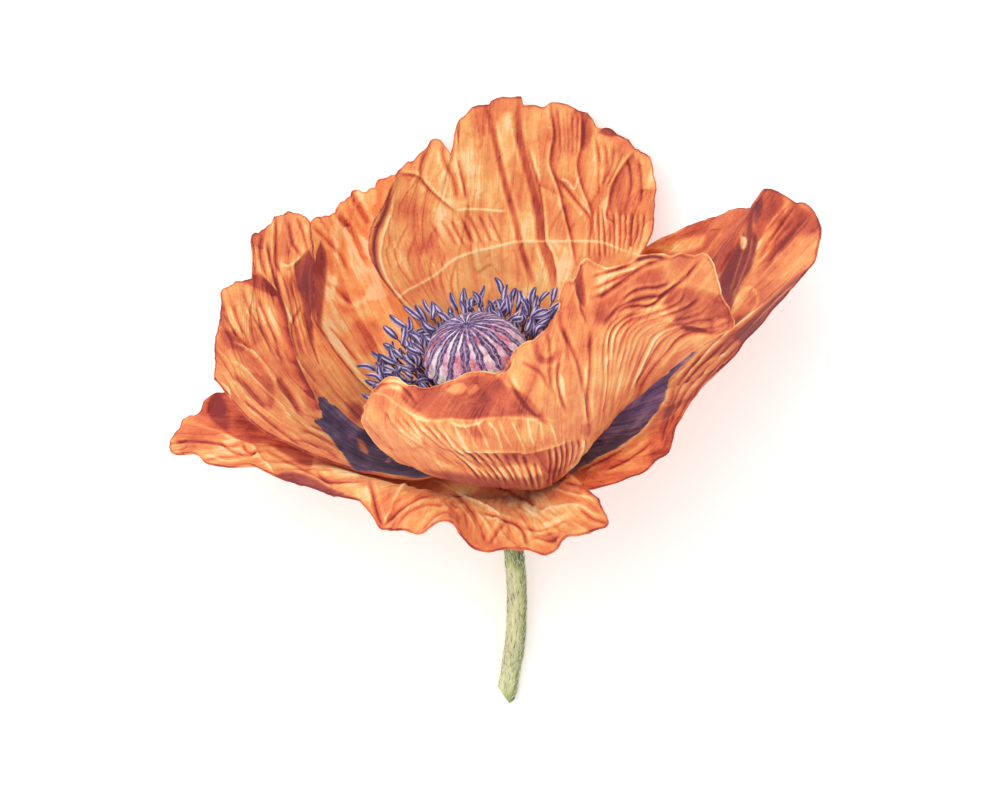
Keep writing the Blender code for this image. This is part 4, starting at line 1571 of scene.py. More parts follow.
@dataclass
class InnerFrontPetal(Petal):
    """Cupped front petal that hides half of the heart; its outer face shows."""

    name: str = "petal_inner_front"
    slot: str = "inner_petal"
    whorl: float = 0.6
    claw: tuple[float, float] = (112.0, 18.0)
    along: Sequence[float] = (0.0, 0.24, 0.46, 0.76, 1.0)
    rows: Sequence[Sequence[Point3]] = (
        ((-4.8, -16.5, 45), (4.4, -15.5, 46), (12, -12, 44), (16.5, -7, 40), (19.4, -2, 34.5)),
        ((-20.8, -14.9, 60), (-10, -18.8, 65), (1, -20.4, 68), (10.8, -20.3, 68), (17.5, -16.3, 64),
         (25, -7.5, 57), (33, 1, 54)),
        ((-30, -6.4, 77), (-20, -6, 88), (-8, -6, 92), (4, -5, 92), (15, 2, 90), (25, 9, 87),
         (37, 14.5, 81), (46, 11, 71)),
        ((-29.6, -0.5, 80), (-26, 3.4, 83), (-22.4, 5, 85), (-15.6, 2.6, 87), (-7.2, 5.6, 88),
         (0, 6.2, 88.5), (3.7, 9.7, 89), (10.4, 14.7, 91), (15.5, 19.4, 92), (16.2, 24.6, 92),
         (20, 31.8, 91), (25.7, 30.1, 88.5), (32.1, 31.7, 87), (38.9, 33.1, 84), (48.2, 33.1, 79),
         (51.3, 27.2, 77), (54.3, 19.8, 74), (54.8, 16, 72)),
    )
    outline: Sequence[Point2] = (
        (-29.7, -2.2), (-29.2, -0.8), (-27.7, 1.6), (-25.5, 4), (-24, 4.9), (-22.3, 5.1), (-20, 3.3),
        (-18.5, 3.2), (-16, 2.5), (-12, 3.4), (-8, 5), (-4.5, 6.2), (0.5, 5.9), (2, 6.3), (3.2, 7.5),
        (3.7, 9), (4.3, 10.8), (5.5, 11.7), (7.5, 13.2), (9.5, 13.8), (12.5, 16.5), (13.6, 17.8),
        (14.5, 19.3), (14.9, 21.4), (15.3, 24.6), (16.6, 27), (18, 27.1), (18.4, 26.5), (19.3, 30.5),
        (20.8, 32.2), (22, 31.8), (24, 30.8), (26, 30.1), (29, 30.5), (32, 31.7), (33.5, 32.5),
        (38.5, 33.2), (39.7, 32.6), (43, 33.3), (46, 32.8), (48, 33.3), (49.8, 31.5), (51.5, 26.5),
        (52.2, 23.5), (54.2, 20.5), (55.2, 17), (54.8, 16),
    )
    # The tones of these marks are mostly painted shade and painted highlights; their lifts are real relief.
    marks: Sequence[Mark] = (
        Patch(((-21, 3), (-18, 2.6), (-12, 3), (-6, 5), (0, 5.4), (3, 3), (7, 1), (9.5, -2), (12, -5),
              (9, -4), (5, -4), (2, -4.6), (-2, -4.4), (-6, -5), (-10, -4.6), (-14, -4.7), (-17.5, -3),
              (-21, 0)), -0.3, 0.9, -0.3),
        Fold(((9.3, 13.5), (9.6, 11.2), (10.4, 9.4), (12, 8.6), (13.8, 9.2), (15, 11.4)), 0.8, -0.22, -0.3),
        Fold(((3.4, 9.5), (3.2, 7.4), (1.2, 6.1)), tone=-0.3, lift=-0.3),
        Fold(((6.2, 8.5), (10.8, 5.7), (12.8, 1.5)), 0.5, -0.22, -0.3),
        Fold(((-27.5, 1.5), (-25.5, 3.2), (-22, 3.3), (-19.5, 1.2), (-18, -1)), tone=-0.28),
        Fold(((3, 5), (6, 0), (9, -3.5), (12.5, -6)), 0.45, -0.26, -0.3),
        Patch(((14.9, 5.8), (15.7, 4.5), (16, 0.2), (15.2, 1.5)), 0.34, 0.5, 0.3),
        Fold(((15, 9), (14.4, 5), (15.4, 0), (16.5, -3)), tone=-0.34, lift=-0.4),
        Fold(((12, 15), (13, 10), (12.8, 5), (14, 0)), 0.5, -0.24, -0.4),
        Patch(((-11, 2.2), (-8.5, 3.6), (-6.5, 3), (-6.8, 1.4), (-9.5, 1.2)), 0.34, 0.9, 0.1),
        Patch(((-6.8, 2.6), (-4.5, 3.4), (-3.4, 2.4), (-5.4, 1)), 0.26, 0.8, 0.1),
        Patch(((-1.5, 2), (1, 2.4), (2.2, 0.4), (-0.5, -0.6)), 0.12, 1.2),
        Patch(((3.4, 5.6), (7, 7.4), (9, 5), (7.2, 1.4), (4.6, 2.6)), 0.11, 1.4),
        Patch(((-25, 4), (-22, 4.4), (-20, 2.8), (-23, 2)), 0.25, 0.8),
        Fold(((-28, 1), (-25.5, 1), (-22, -1.5), (-18, -4), (-14.5, -5)), 0.35, 0.18, 0.3),
        Fold(((-10, -5.4), (-7, -6), (-4, -5.6), (-2, -4.6)), 0.3, 0.3, 0.3),
        Patch(((-22, -2), (-14, -5.5), (-9, -6.5), (-2, -5), (5, -4.8), (12, -5.5), (16, -9), (8, -12),
              (0, -11.8), (-10, -11.6), (-18, -9), (-24, -6)), 0.01, 1.6, 0.3),
        Patch(((4, -6), (10, -6), (11, -10), (5, -10)), 0.06, 2.5),
        Patch(((-22, -7), (-17, -6.5), (-13, -12), (-17, -14)), 0.12, 2.5),
        Patch(((-9.5, -6), (-4, -6), (-1, -8.5), (-6, -8)), -0.16, 1.2),
        Fold(((-21, -1.3), (-17.7, -4.1), (-14, -5), (-9.9, -4.7), (-5.3, -5), (-1.1, -4.5), (5, -4.4),
             (11.7, -4.7), (15, -5)), 0.25, 0.18, 0.2),
        Fan(((-13, -5), (-11, -8), (-8.3, -12)), ((13, -4.8), (13.6, -7.5), (14, -10.5)), 10, 0.2, 0.28,
            0.3, 55),
        Patch(((22, 23), (30, 27), (38, 30), (40, 24), (30, 20), (24, 17)), -0.18),
        Fan(((-26, -2), (-22, -7), (-15, -12), (-9, -16)), ((-12, -6), (-9, -9.5), (-5, -14), (-2, -18)), 7,
            0.32, -0.24, -0.25, 51),
        Fold(((-10, -11.8), (0, -11.9), (8, -12.2), (12, -11.2), (18.5, -9.3)), 0.35, 0.2, 0.3),
        Patch(((-10, -12), (0, -12.2), (12, -11.8), (19, -9.5), (19, -14), (13, -17), (8, -15), (0, -15.6),
              (-6, -15)), -0.2, 0.8, plum_shade=0.12),
        Patch(((-16, -16.5), (-4, -17.6), (8, -18), (16, -15.9), (12, -22), (4, -21.5), (-6, -20.6)), -0.2,
              1.2, plum_shade=0.42),
        Fan(((-12, -11), (-7, -14.5), (-3, -18.8)), ((9, -13), (10, -17.5), (10.6, -20.8)), 10, 0.26, -0.42,
            -0.35, 52),
        Fan(((-11.2, -12), (-6.2, -15), (-2, -18.4)), ((9.6, -14.5), (10.8, -17.5), (11.2, -20)), 10, 0.22,
            0.3, 0.2, 57),
        Fan(((12.5, -11), (13, -15), (12.3, -20)), ((20.5, -8.5), (20.8, -11), (19.5, -14.5)), 7, 0.26,
            -0.34, -0.35, 53),
        Fan(((13.3, -12), (13.7, -15), (13, -19.2)), ((20.9, -8.8), (20.2, -11), (19.3, -13.8)), 6, 0.22,
            0.24, 0.2, 58),
        Patch(((20, -6), (22, -6), (22, -8.3), (20.2, -8.2)), -0.24, 0.6),
        Fold(((14.5, 17.5), (17, 13), (19.5, 7), (21, 0), (21.8, -6)), 0.5, -0.26, -0.5),
        Fold(((22, 16), (22, 8), (21.5, 2), (22, -6)), 0.5, -0.36, -0.5),
        Fold(((16, 24), (15, 19), (16.5, 14), (17, 9)), 0.6, -0.2, -0.4),
        Fold(((18.4, 26.5), (19.5, 21), (21, 17)), 0.5, -0.3, 0.6, profile=Profile.RIGHT_UP),
        Fan(((24, -6), (25, 3), (25, 10), (25.7, 15), (28.5, 18.6), (33, 20.2)), ((32.5, 0), (36, 6),
            (39.4, 10.6), (42, 13.6), (46, 15.1), (51.5, 15.2)), 13, 0.36, -0.36, -0.42, 54),
        Fan(((32, 19.8), (36, 21.5), (39.5, 24), (42, 26)), ((45, 15.4), (48, 15.9), (51.5, 16.4),
            (54, 17.6)), 6, 0.28, -0.22, -0.25, 56),
        Patch(((24, 2), (25.5, 13), (28, 17), (33, 15), (30, 6), (26, -3)), 0.1, 2.0),
        Fold(((22.4, 23.2), (24.7, 23.7), (27.7, 25.7), (31.1, 28.1), (34.5, 30.4), (39.4, 32)), 0.5, -0.38,
             -0.6),
        Fold(((22.3, 27.6), (24.2, 28.4), (27.7, 29.3), (31.1, 30.8)), 0.35, -0.3, -0.4),
        Fold(((22.7, 24.9), (25.2, 26.2), (28.6, 27.6), (31.6, 29.1)), 0.35, -0.3, -0.4),
        Fold(((25.4, 16.3), (26.7, 18.8), (28.6, 20.8), (31.6, 22.2), (35, 23.2), (38.5, 23.6),
             (41.4, 25.6), (44.4, 28.6), (47.3, 32)), 0.45, -0.34, -0.5),
        Fold(((27.7, 18.8), (30.1, 20.7), (32.6, 21.2), (35.5, 21.2), (37.5, 22.2), (39.8, 25)), 0.35,
             -0.34, -0.4),
        Fold(((28.6, 21.5), (31.1, 24), (34, 25.2), (37.5, 25.5), (40.4, 26.6)), 0.35, -0.3, -0.4),
        Patch(((41.5, 25.5), (44, 25.5), (48, 24.5), (51.5, 23), (53.5, 21), (54.8, 18.5), (54, 16),
              (46, 14.5), (42, 17), (39, 22)), -0.3, lift=-0.2),
        Patch(((50.5, 18.5), (53.5, 18), (53, 16), (50.5, 16)), 0.24, 0.6),
        Patch(((41.5, 26), (44, 29.5), (47.5, 32.5), (49, 32.3), (50.3, 30), (51.8, 25.5), (52, 23.8),
              (48, 24.5), (44.5, 25.7)), -0.02, 0.6, 0.6),
        Fold(((49.8, 31.5), (51.3, 26.5), (52, 23.7)), tone=0.4, lift=0.3),
        Patch(((18.5, 27), (19.6, 30.8), (20.4, 27), (20.8, 21), (18.4, 24)), -0.4, 0.6, -0.5),
        Fold(((32.5, 31.5), (36, 32.5), (39, 32)), 0.45, -0.5, plum_shade=0.5),
        Fold(((25, 28), (31, 29.5), (36, 31)), 0.5, 0.2, 0.4),
    )
    tone: float = 0.64
    spread: float = 95.0
    reach: float = 75.0
    facet_tone: float = 0.6
    crumple: float = 0.22
    edge_tone: float = 0.3
    hidden: float = 0.32
    crowding: float = 0.68
    seed: int = 53
    columns: int = 291
    lines: int = 233


@dataclass
class RightPetal(Petal):
    """Right petal, open like a wing, with a funnel and a rolled flap at its tip."""

    name: str = "petal_right"
    slot: str = "outer_petal"
    whorl: float = -1.2
    claw: tuple[float, float] = (-48.0, 40.0)
    along: Sequence[float] = (0.0, 0.27, 0.62, 1.0)
    rows: Sequence[Sequence[Point3]] = (
        ((12.5, 6.5, 5.5), (19.5, 4, 13), (23, 0, 23), (22.5, -7, 33), (16.2, -14.8, 40.8)),
        ((20, 32, 0.55), (33, 29, 5), (45, 23, 20), (50, 14, 36), (46, 4, 49), (36, -7, 58),
         (15.3, -20.5, 54)),
        ((27, 36, 0.75), (36, 35, 3), (45, 40.6, 10), (55.4, 44, 20), (60, 44.6, 26), (62.3, 48.4, 32),
         (66, 47.3, 36), (71.9, 44.4, 40), (74.9, 38.1, 46), (74.1, 32.3, 50), (70, 26.5, 54),
         (64.4, 20.4, 57), (57.8, 13.8, 60), (48.1, 3.7, 64), (41.3, -6.9, 67), (38.4, -13.5, 68),
         (32.7, -18.1, 67), (20.8, -20.6, 60)),
    )
    outline: Sequence[Point2] = (
        (27, 36), (34.3, 34.4), (36, 35.5), (39, 37), (43, 39), (46, 40.2), (50, 41.7), (54, 43.3),
        (57, 44), (59.4, 43.8), (60, 45), (61, 47), (62.5, 48.5), (64, 48.3), (66, 47.3), (68, 46.2),
        (69.5, 45), (71.5, 45), (73, 43.5), (74, 42), (75, 38), (74, 33), (73.5, 31.5), (71, 29),
        (69, 26.5), (66, 23), (63, 19.5), (60, 16.2), (57.5, 13.5), (56, 11), (52, 7.5), (50, 5.3),
        (47.5, 3), (44.5, -1), (42, -5.5), (41, -8), (40.3, -11), (39.5, -12.5), (37, -13.7), (35.5, -15.8),
        (34, -17), (31, -18), (27.5, -19.4), (20.8, -20.6),
    )
    # The tones of these marks are mostly painted shade and painted highlights, their lifts real relief; the
    # blotch is the petal's own colour.
    marks: Sequence[Mark] = (
        Patch(((59, 44), (58.3, 40), (57, 37), (55, 33.5), (53, 30), (51.7, 27.5), (52, 25), (53, 22.5),
              (54.3, 20.3), (55.5, 23), (57, 26.5), (59, 30), (60.5, 35), (59.5, 40), (61, 45)), -0.44, 1.1,
              -0.3, plum_shade=0.52),
        Fold(((58.3, 40), (57.4, 34.5), (55.6, 29), (54.2, 24)), 0.24, 0.36, 0.2),
        Fold(((59.6, 38), (58.6, 32.5), (56.6, 27.5), (54.8, 22.5)), 0.24, 0.36, 0.2),
        Patch(((57, 37.4), (58.2, 37), (57.8, 34.6), (56.6, 34.8)), 0.6, 0.4, plum_shade=-0.5),
        Patch(((40, 37.5), (49, 41.5), (58.6, 43.5), (57, 38), (52, 29), (46, 30), (40, 33)), -0.2, 1.2),
        Patch(((36, 34.8), (43.5, 36.8), (48.6, 37.8), (47.5, 35), (42, 33.5)), 0.36, 1.2),
        Patch(((71.6, 29.6), (68.2, 26), (63.6, 21.5), (61.3, 18), (57.8, 13.5), (53.2, 8), (46.9, 2),
              (41.7, -5), (40, -13), (36, -14.4), (36, -4.6), (38.9, 0), (41.7, 4), (47.5, 9.8),
              (54.4, 14.9), (57.8, 16.7), (60.7, 20.7), (64.7, 24.7), (70.5, 29.3)), -0.2, 0.8),
        Patch(((60.6, 45), (62.5, 48.6), (66, 47.3), (66.5, 42), (63, 38), (60, 36)), -0.32, 1.2),
        Patch(((60.5, 29), (63, 34), (66, 41), (69, 45), (73, 43), (74.5, 39), (69, 37), (65, 33)), -0.28),
        Patch(((55, 18.5), (54.8, 20.5), (57.3, 25), (59, 25.8), (60.4, 24), (60.4, 21.8), (58.4, 19.5)),
              0.08, 0.6, 0.3),
        Fan(((60, 33), (64, 38), (69, 45)), ((61, 29), (66.5, 35), (72.8, 42)), 8, 0.32, -0.38, -0.4, 61),
        Fold(((59.8, 33), (62.5, 38), (65.5, 43), (67.5, 45.5)), 0.3, 0.26, 0.3),
        Patch(((60, 17), (55, 12), (51, 9.5), (50, 13), (57, 19)), -0.14, 1.0),
        Patch(((60.4, 45), (62, 46.5), (61.4, 42), (60.2, 40)), -0.18, 0.5, plum_shade=0.45),
        Patch(((63, 28), (67, 34.5), (72, 37.5), (74.5, 36), (73.5, 32), (70, 29), (65, 25.5)), 0.1),
        Fold(((59, 25.9), (60.5, 24.2), (60.6, 21.8), (58.6, 19.2)), 0.3, 0.22, 0.3),
        Fold(((71.5, 29.8), (68, 27), (64, 23), (60.5, 20), (56, 16.5), (54.5, 15.3)), 0.35, 0.3, 0.5),
        Patch(((72, 29.6), (66, 24.6), (60.5, 19.4), (55.5, 14), (58, 13), (63, 19), (69, 26)), -0.3, 0.9,
              plum_shade=0.35),
        Fold(((70.5, 27.6), (66, 23.7), (62, 19.7), (58, 15.6)), 0.24, 0.46, 0.2),
        Fold(((62, 21.5), (58, 18), (53, 14), (47.5, 8.6), (43, 3)), 0.24, 0.34, 0.3),
        Fold(((47, 9.5), (50, 11.5), (53, 13.2)), 0.45, 0.26, 0.3),
        Fold(((40.5, 3), (44, 6.5), (47.5, 10.5)), 0.45, 0.24, 0.3),
        Fold(((48, 5), (51, 9), (55, 10.2)), 0.45, 0.24, 0.3),
        Fan(((41, -7), (44, -1), (49, 5), (56, 12)), ((37, -11), (41, 1), (46, 8), (53, 14)), 4, 0.35,
            lift=-0.3, seed=62),
        Patch(((46.5, 10.8), (43, 10.6), (36, 12), (28, 10), (20, 3), (16, -5), (15, -14), (15.5, -18.3),
              (22, -14.5), (26, -12.3), (30, -10), (34, -7), (36.5, -4), (38.5, -1), (39.7, 1.5), (40, 4),
              (42.5, 7)), blur=0.8, lift=-0.3, blotch=1.0),
        Fold(((17, -17.6), (26, -12.9), (30.4, -10.5), (34.4, -7.5), (37, -4.4), (39.2, -1.2), (40.4, 1.5),
             (40.8, 4)), 0.35, 0.3, 0.3),
        Fold(((30, -11), (26, -13.5), (20, -16.5)), tone=-0.3, lift=-0.3),
        Fold(((36, -10), (31, -13.5), (25, -16.5)), 0.5, -0.36, -0.4),
        Patch(((38, -11), (41, -9), (42.5, -3), (39, -3)), -0.1, 1.0),
        Patch(((24, -17.5), (33, -16), (34, -13.5), (27, -15)), 0.16, 1.0),
    )
    tone: float = 0.6
    spread: float = 95.0
    crumple: float = 0.24
    ruffle: float = 0.45
    seed: int = 67
    columns: int = 271
    lines: int = 191

    def finish(self) -> PetalFinish:
        """Return the petal's finish, with a blotch more violet than the others'."""
        return replace(super().finish(), blotch_dark=linear(88, 58, 100),
                       blotch_mid=linear(120, 84, 122), blotch_light=linear(184, 138, 166))


# --- heart


@dataclass
class Capsule:
    """Seed capsule: a ribbed ovary under a domed stigma disc with velvety rays.

    Attributes:
        node: The CAD node that it replaces.
        rays: Number of stigma rays.
        per_ray: How many points it has round it for each ray.
        lines: How many rings of points it has.
        foot_lines: How many of them are below the neck.
        neck: Which profile point is the neck's first.
        ray_height: How far the rays stand out, in millimetres.
        profile: (radius, height) points from the foot to the apex.
    """

    node: str = "seed_capsule"
    rays: int = 17
    per_ray: int = 16
    lines: int = 100
    foot_lines: int = 22
    neck: int = 6
    ray_height: float = 0.42
    profile: Sequence[Point2] = (
        (4.0, 2.3), (5.4, 5.0), (7.2, 9.0), (8.3, 13.0), (8.5, 16.5), (8.1, 19.0), (9.2, 20.6),
        (11.3, 21.3), (11.8, 22.2), (11.45, 23.6), (10.6, 25.4), (9.4, 27.1), (8.0, 28.4),
        (6.3, 29.6), (4.4, 30.4), (2.6, 30.85), (1.2, 31.0), (0.35, 30.7),
    )

    def build(self, material: bpy.types.Material) -> bpy.types.Object:
        """Build the capsule and give it to the frame.

        Args:
            material: Its finish.

        Returns:
            The piece.
        """
        profile = np.array(self.profile, float)
        knots = chord_knots(profile)
        places = np.concatenate((
            np.linspace(0.0, knots[self.neck], self.foot_lines, endpoint=False),
            np.linspace(knots[self.neck], 1.0, self.lines - self.foot_lines)))
        line = smooth_curve(profile, knots, places)
        radius, height = line[:, :1], line[:, 1:]
        sides = self.rays * self.per_ray
        noise = Crumple(5)
        turn = np.arange(sides)[None, :] / sides
        wobble = noise.wave(turn * self.rays, height * 0.55) * 0.16
        phase = turn * self.rays + wobble * ease(2.0, 6.0, radius)
        offset = np.abs(phase - np.round(phase)) * 2 * math.pi * radius / self.rays
        pitch = 2 * math.pi * radius / self.rays
        breadth = np.minimum(0.33 * pitch, 0.88) * (1 + 0.22 * noise.wave(turn * 34, height * 1.9))
        on_disc = ease(20.8, 21.6, height) * np.ones_like(turn)
        band = ease(1.18, 0.86, offset / breadth) * on_disc
        lobe = np.cos(2 * math.pi * phase) * ease(8.6, 11.5, radius) * ease(20.6, 21.4, height)
        lobe = lobe * ease(26.5, 22.5, height)
        cord = 1.0 - 0.35 * ease(0.5, 0.0, offset / breadth)
        rise = self.ray_height * band * cord * ease(0.3, 2.0, radius)
        ribs = -0.25 * np.abs(np.sin(math.pi * phase)) * ease(20.0, 14.0, height)
        spread = radius + 0.42 * lobe + ribs + rise * 0.5
        lift = height + rise * 0.85 * ease(11.5, 8.0, radius)
        points = round_axis(np.broadcast_to(turn * 360.0, spread.shape), spread, lift)
        faces = tube_faces(len(line), sides)
        piece = make_piece("seed_capsule_dressed", points.reshape(-1, 3), faces, material)
        core = ease(0.40, 0.12, offset / breadth) * 0.55 * ease(3.0, 6.0, radius)
        hub = ease(1.6, 0.7, radius) * on_disc
        store(piece, "ray", np.clip(band - core + hub, 0.0, 1.0))
        rim = ease(26.2, 23.6, height) * (0.3 + 0.7 * ease(0.66, 0.95, offset / (0.5 * pitch)))
        store(piece, "rim", np.broadcast_to(rim, spread.shape))
        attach(piece, BODY)
        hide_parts(self.node)
        log.info("%s: %d rays", piece.name, self.rays)
        return piece


@dataclass
class StamenRing:
    """One ring of stamens with the extra ones that stand among them.

    Attributes:
        name: Name of the piece.
        first_node: Number of the first CAD stamen it stands for.
        first_angle: Angle of that stamen.
        path: (radius, height) points of a stamen from foot to tip.
        extra: How many more stamens stand among the ring's own.
        seed: Seed of their small irregularities.
        count: How many CAD stamens it stands for.
        thread: Radius of a filament at its foot.
        girth: Radius of an anther.
        thread_rings: How many rings of points a filament has.
        thread_sides: How many sides a filament has.
        anther_rings: How many rings of points an anther has.
        anther_sides: How many sides an anther has.
        points: The points gathered so far.
        faces: The faces gathered so far.
        anther: 1 for each point of an anther and 0 for each of a filament.
        shade: How light each point is.
        used: How many points are gathered so far.
    """

    name: str
    first_node: int
    first_angle: float
    path: Sequence[Point2]
    extra: int
    seed: int
    count: int = 14
    thread: float = 0.26
    girth: float = 0.74
    thread_rings: int = 11
    thread_sides: int = 5
    anther_rings: int = 13
    anther_sides: int = 14
    points: list[Array] = field(default_factory=list)
    faces: list[tuple[int, ...]] = field(default_factory=list)
    anther: list[Array] = field(default_factory=list)
    shade: list[Array] = field(default_factory=list)
    used: int = 0

    def build(self, material: bpy.types.Material) -> bpy.types.Object:
        """Build every stamen of the ring as one piece and give it to the frame.

        Args:
            material: Its finish.

        Returns:
            The piece.
        """
        dice = np.random.default_rng(self.seed)
        for place in range(self.count):
            angle = self.first_angle + 360.0 * place / self.count
            self.add_stamen(angle, np.array(self.path, float), dice)
        for place in range(self.extra):
            angle = 360.0 * (place + dice.uniform(0.15, 0.85)) / self.extra
            path = np.array(self.path, float)
            path[-2:] += dice.normal(0.0, (1.4, 1.1))
            path[-1] += (dice.uniform(0.0, 2.4), dice.uniform(-2.2, 0.4))
            path[2:-2] += dice.normal(0.0, (0.5, 0.4))
            path[0, 0] += dice.uniform(-0.3, 0.3)
            self.add_stamen(angle, path, dice)
        piece = make_piece(self.name, np.vstack(self.points), self.faces, material)
        store(piece, "anther", np.concatenate(self.anther))
        store(piece, "shade", np.concatenate(self.shade))
        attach(piece, BODY)
        last = self.first_node + self.count
        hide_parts(*[f"stamen_{number:02d}" for number in range(self.first_node, last)])
        log.info("%s: %d stamens", piece.name, self.count + self.extra)
        return piece

    def add_stamen(self, angle: float, path: Array, dice: np.random.Generator) -> None:
        """Add one filament with its anther.

        Args:
            angle: Its angle round the flower axis.
            path: Its (radius, height) points.
            dice: The ring's random numbers.
        """
        sway = dice.normal(0.0, 1.6, len(path)) * np.linspace(0.0, 1.0, len(path))
        line = round_axis(angle + sway, path[:, 0], path[:, 1])
        knots = chord_knots(line[:-1])
        thread = smooth_curve(line[:-1], knots, np.linspace(0.0, 1.0, self.thread_rings))
        taper = self.thread * np.linspace(1.0, 0.7, self.thread_rings)
        self.add_tube(thread, taper, self.thread_sides, 0.0, 0.0)
        toward = line[-1] - line[-2]
        length = np.linalg.norm(toward) * dice.uniform(0.70, 0.94)
        toward = toward / np.linalg.norm(toward)
        toward = toward + dice.normal(0.0, 0.38, 3)
        toward = toward / np.linalg.norm(toward)
        bend = np.cross(toward, dice.normal(0.0, 1.0, 3))
        bend = bend / np.linalg.norm(bend) * dice.uniform(0.2, 0.8)
        part = np.linspace(0.0, 1.0, self.anther_rings)
        spine = thread[-1] - toward * 0.35 + np.outer(part * length, toward)
        spine = spine + np.outer(np.sin(part * math.pi) - part * 0.6, bend)
        swell = np.sin(np.clip(part * 0.92 + 0.06, 0, 1) * math.pi) ** 0.50
        girth = self.girth * dice.uniform(0.82, 1.08) * swell
        twist = dice.uniform(0.0, 2 * math.pi)
        self.add_tube(spine, np.maximum(girth, 0.12), self.anther_sides, 1.0, twist)

    def add_tube(self, line: Array, radii: Array, sides: int, anther: float,
                 twist: float) -> None:
        """Add a closed tube; an anther's has two grooved lobes.

        Args:
            line: Its centre line.
            radii: Its radius at each point of the line.
            sides: Number of its sides.
            anther: 1 for an anther and 0 for a filament.
            twist: How far the lobes are turned.
        """
        _, across, over = line_frame(line, AXIS + 0.3 * SIDE)
        turn = np.linspace(0.0, 2 * math.pi, sides, endpoint=False)
        wave = 0.5 + 0.5 * np.cos(4.0 * (turn - twist))
        form = 1.0 + anther * (0.20 * (wave - 0.5) + 0.10 * np.cos(2.0 * (turn - twist)))
        ring = unit_rings(turn, across, over)
        points = line[:, None] + ring * (radii[:, None, None] * form[None, :, None])
        rows = len(line)
        self.faces += tube_faces(rows, sides, self.used)
        self.points.append(points.reshape(-1, 3))
        self.anther.append(np.full(rows * sides, anther))
        # Painted highlights on the anther's lobes and painted shade in its grooves, with painted shade
        # towards both ends.
        tone = np.broadcast_to(0.25 + 0.75 * wave * anther, (rows, sides))
        fade = np.sin(np.linspace(0.12, 0.92, rows) * math.pi)[:, None]
        self.shade.append((tone * (0.45 + 0.55 * fade)).ravel())
        self.used += rows * sides


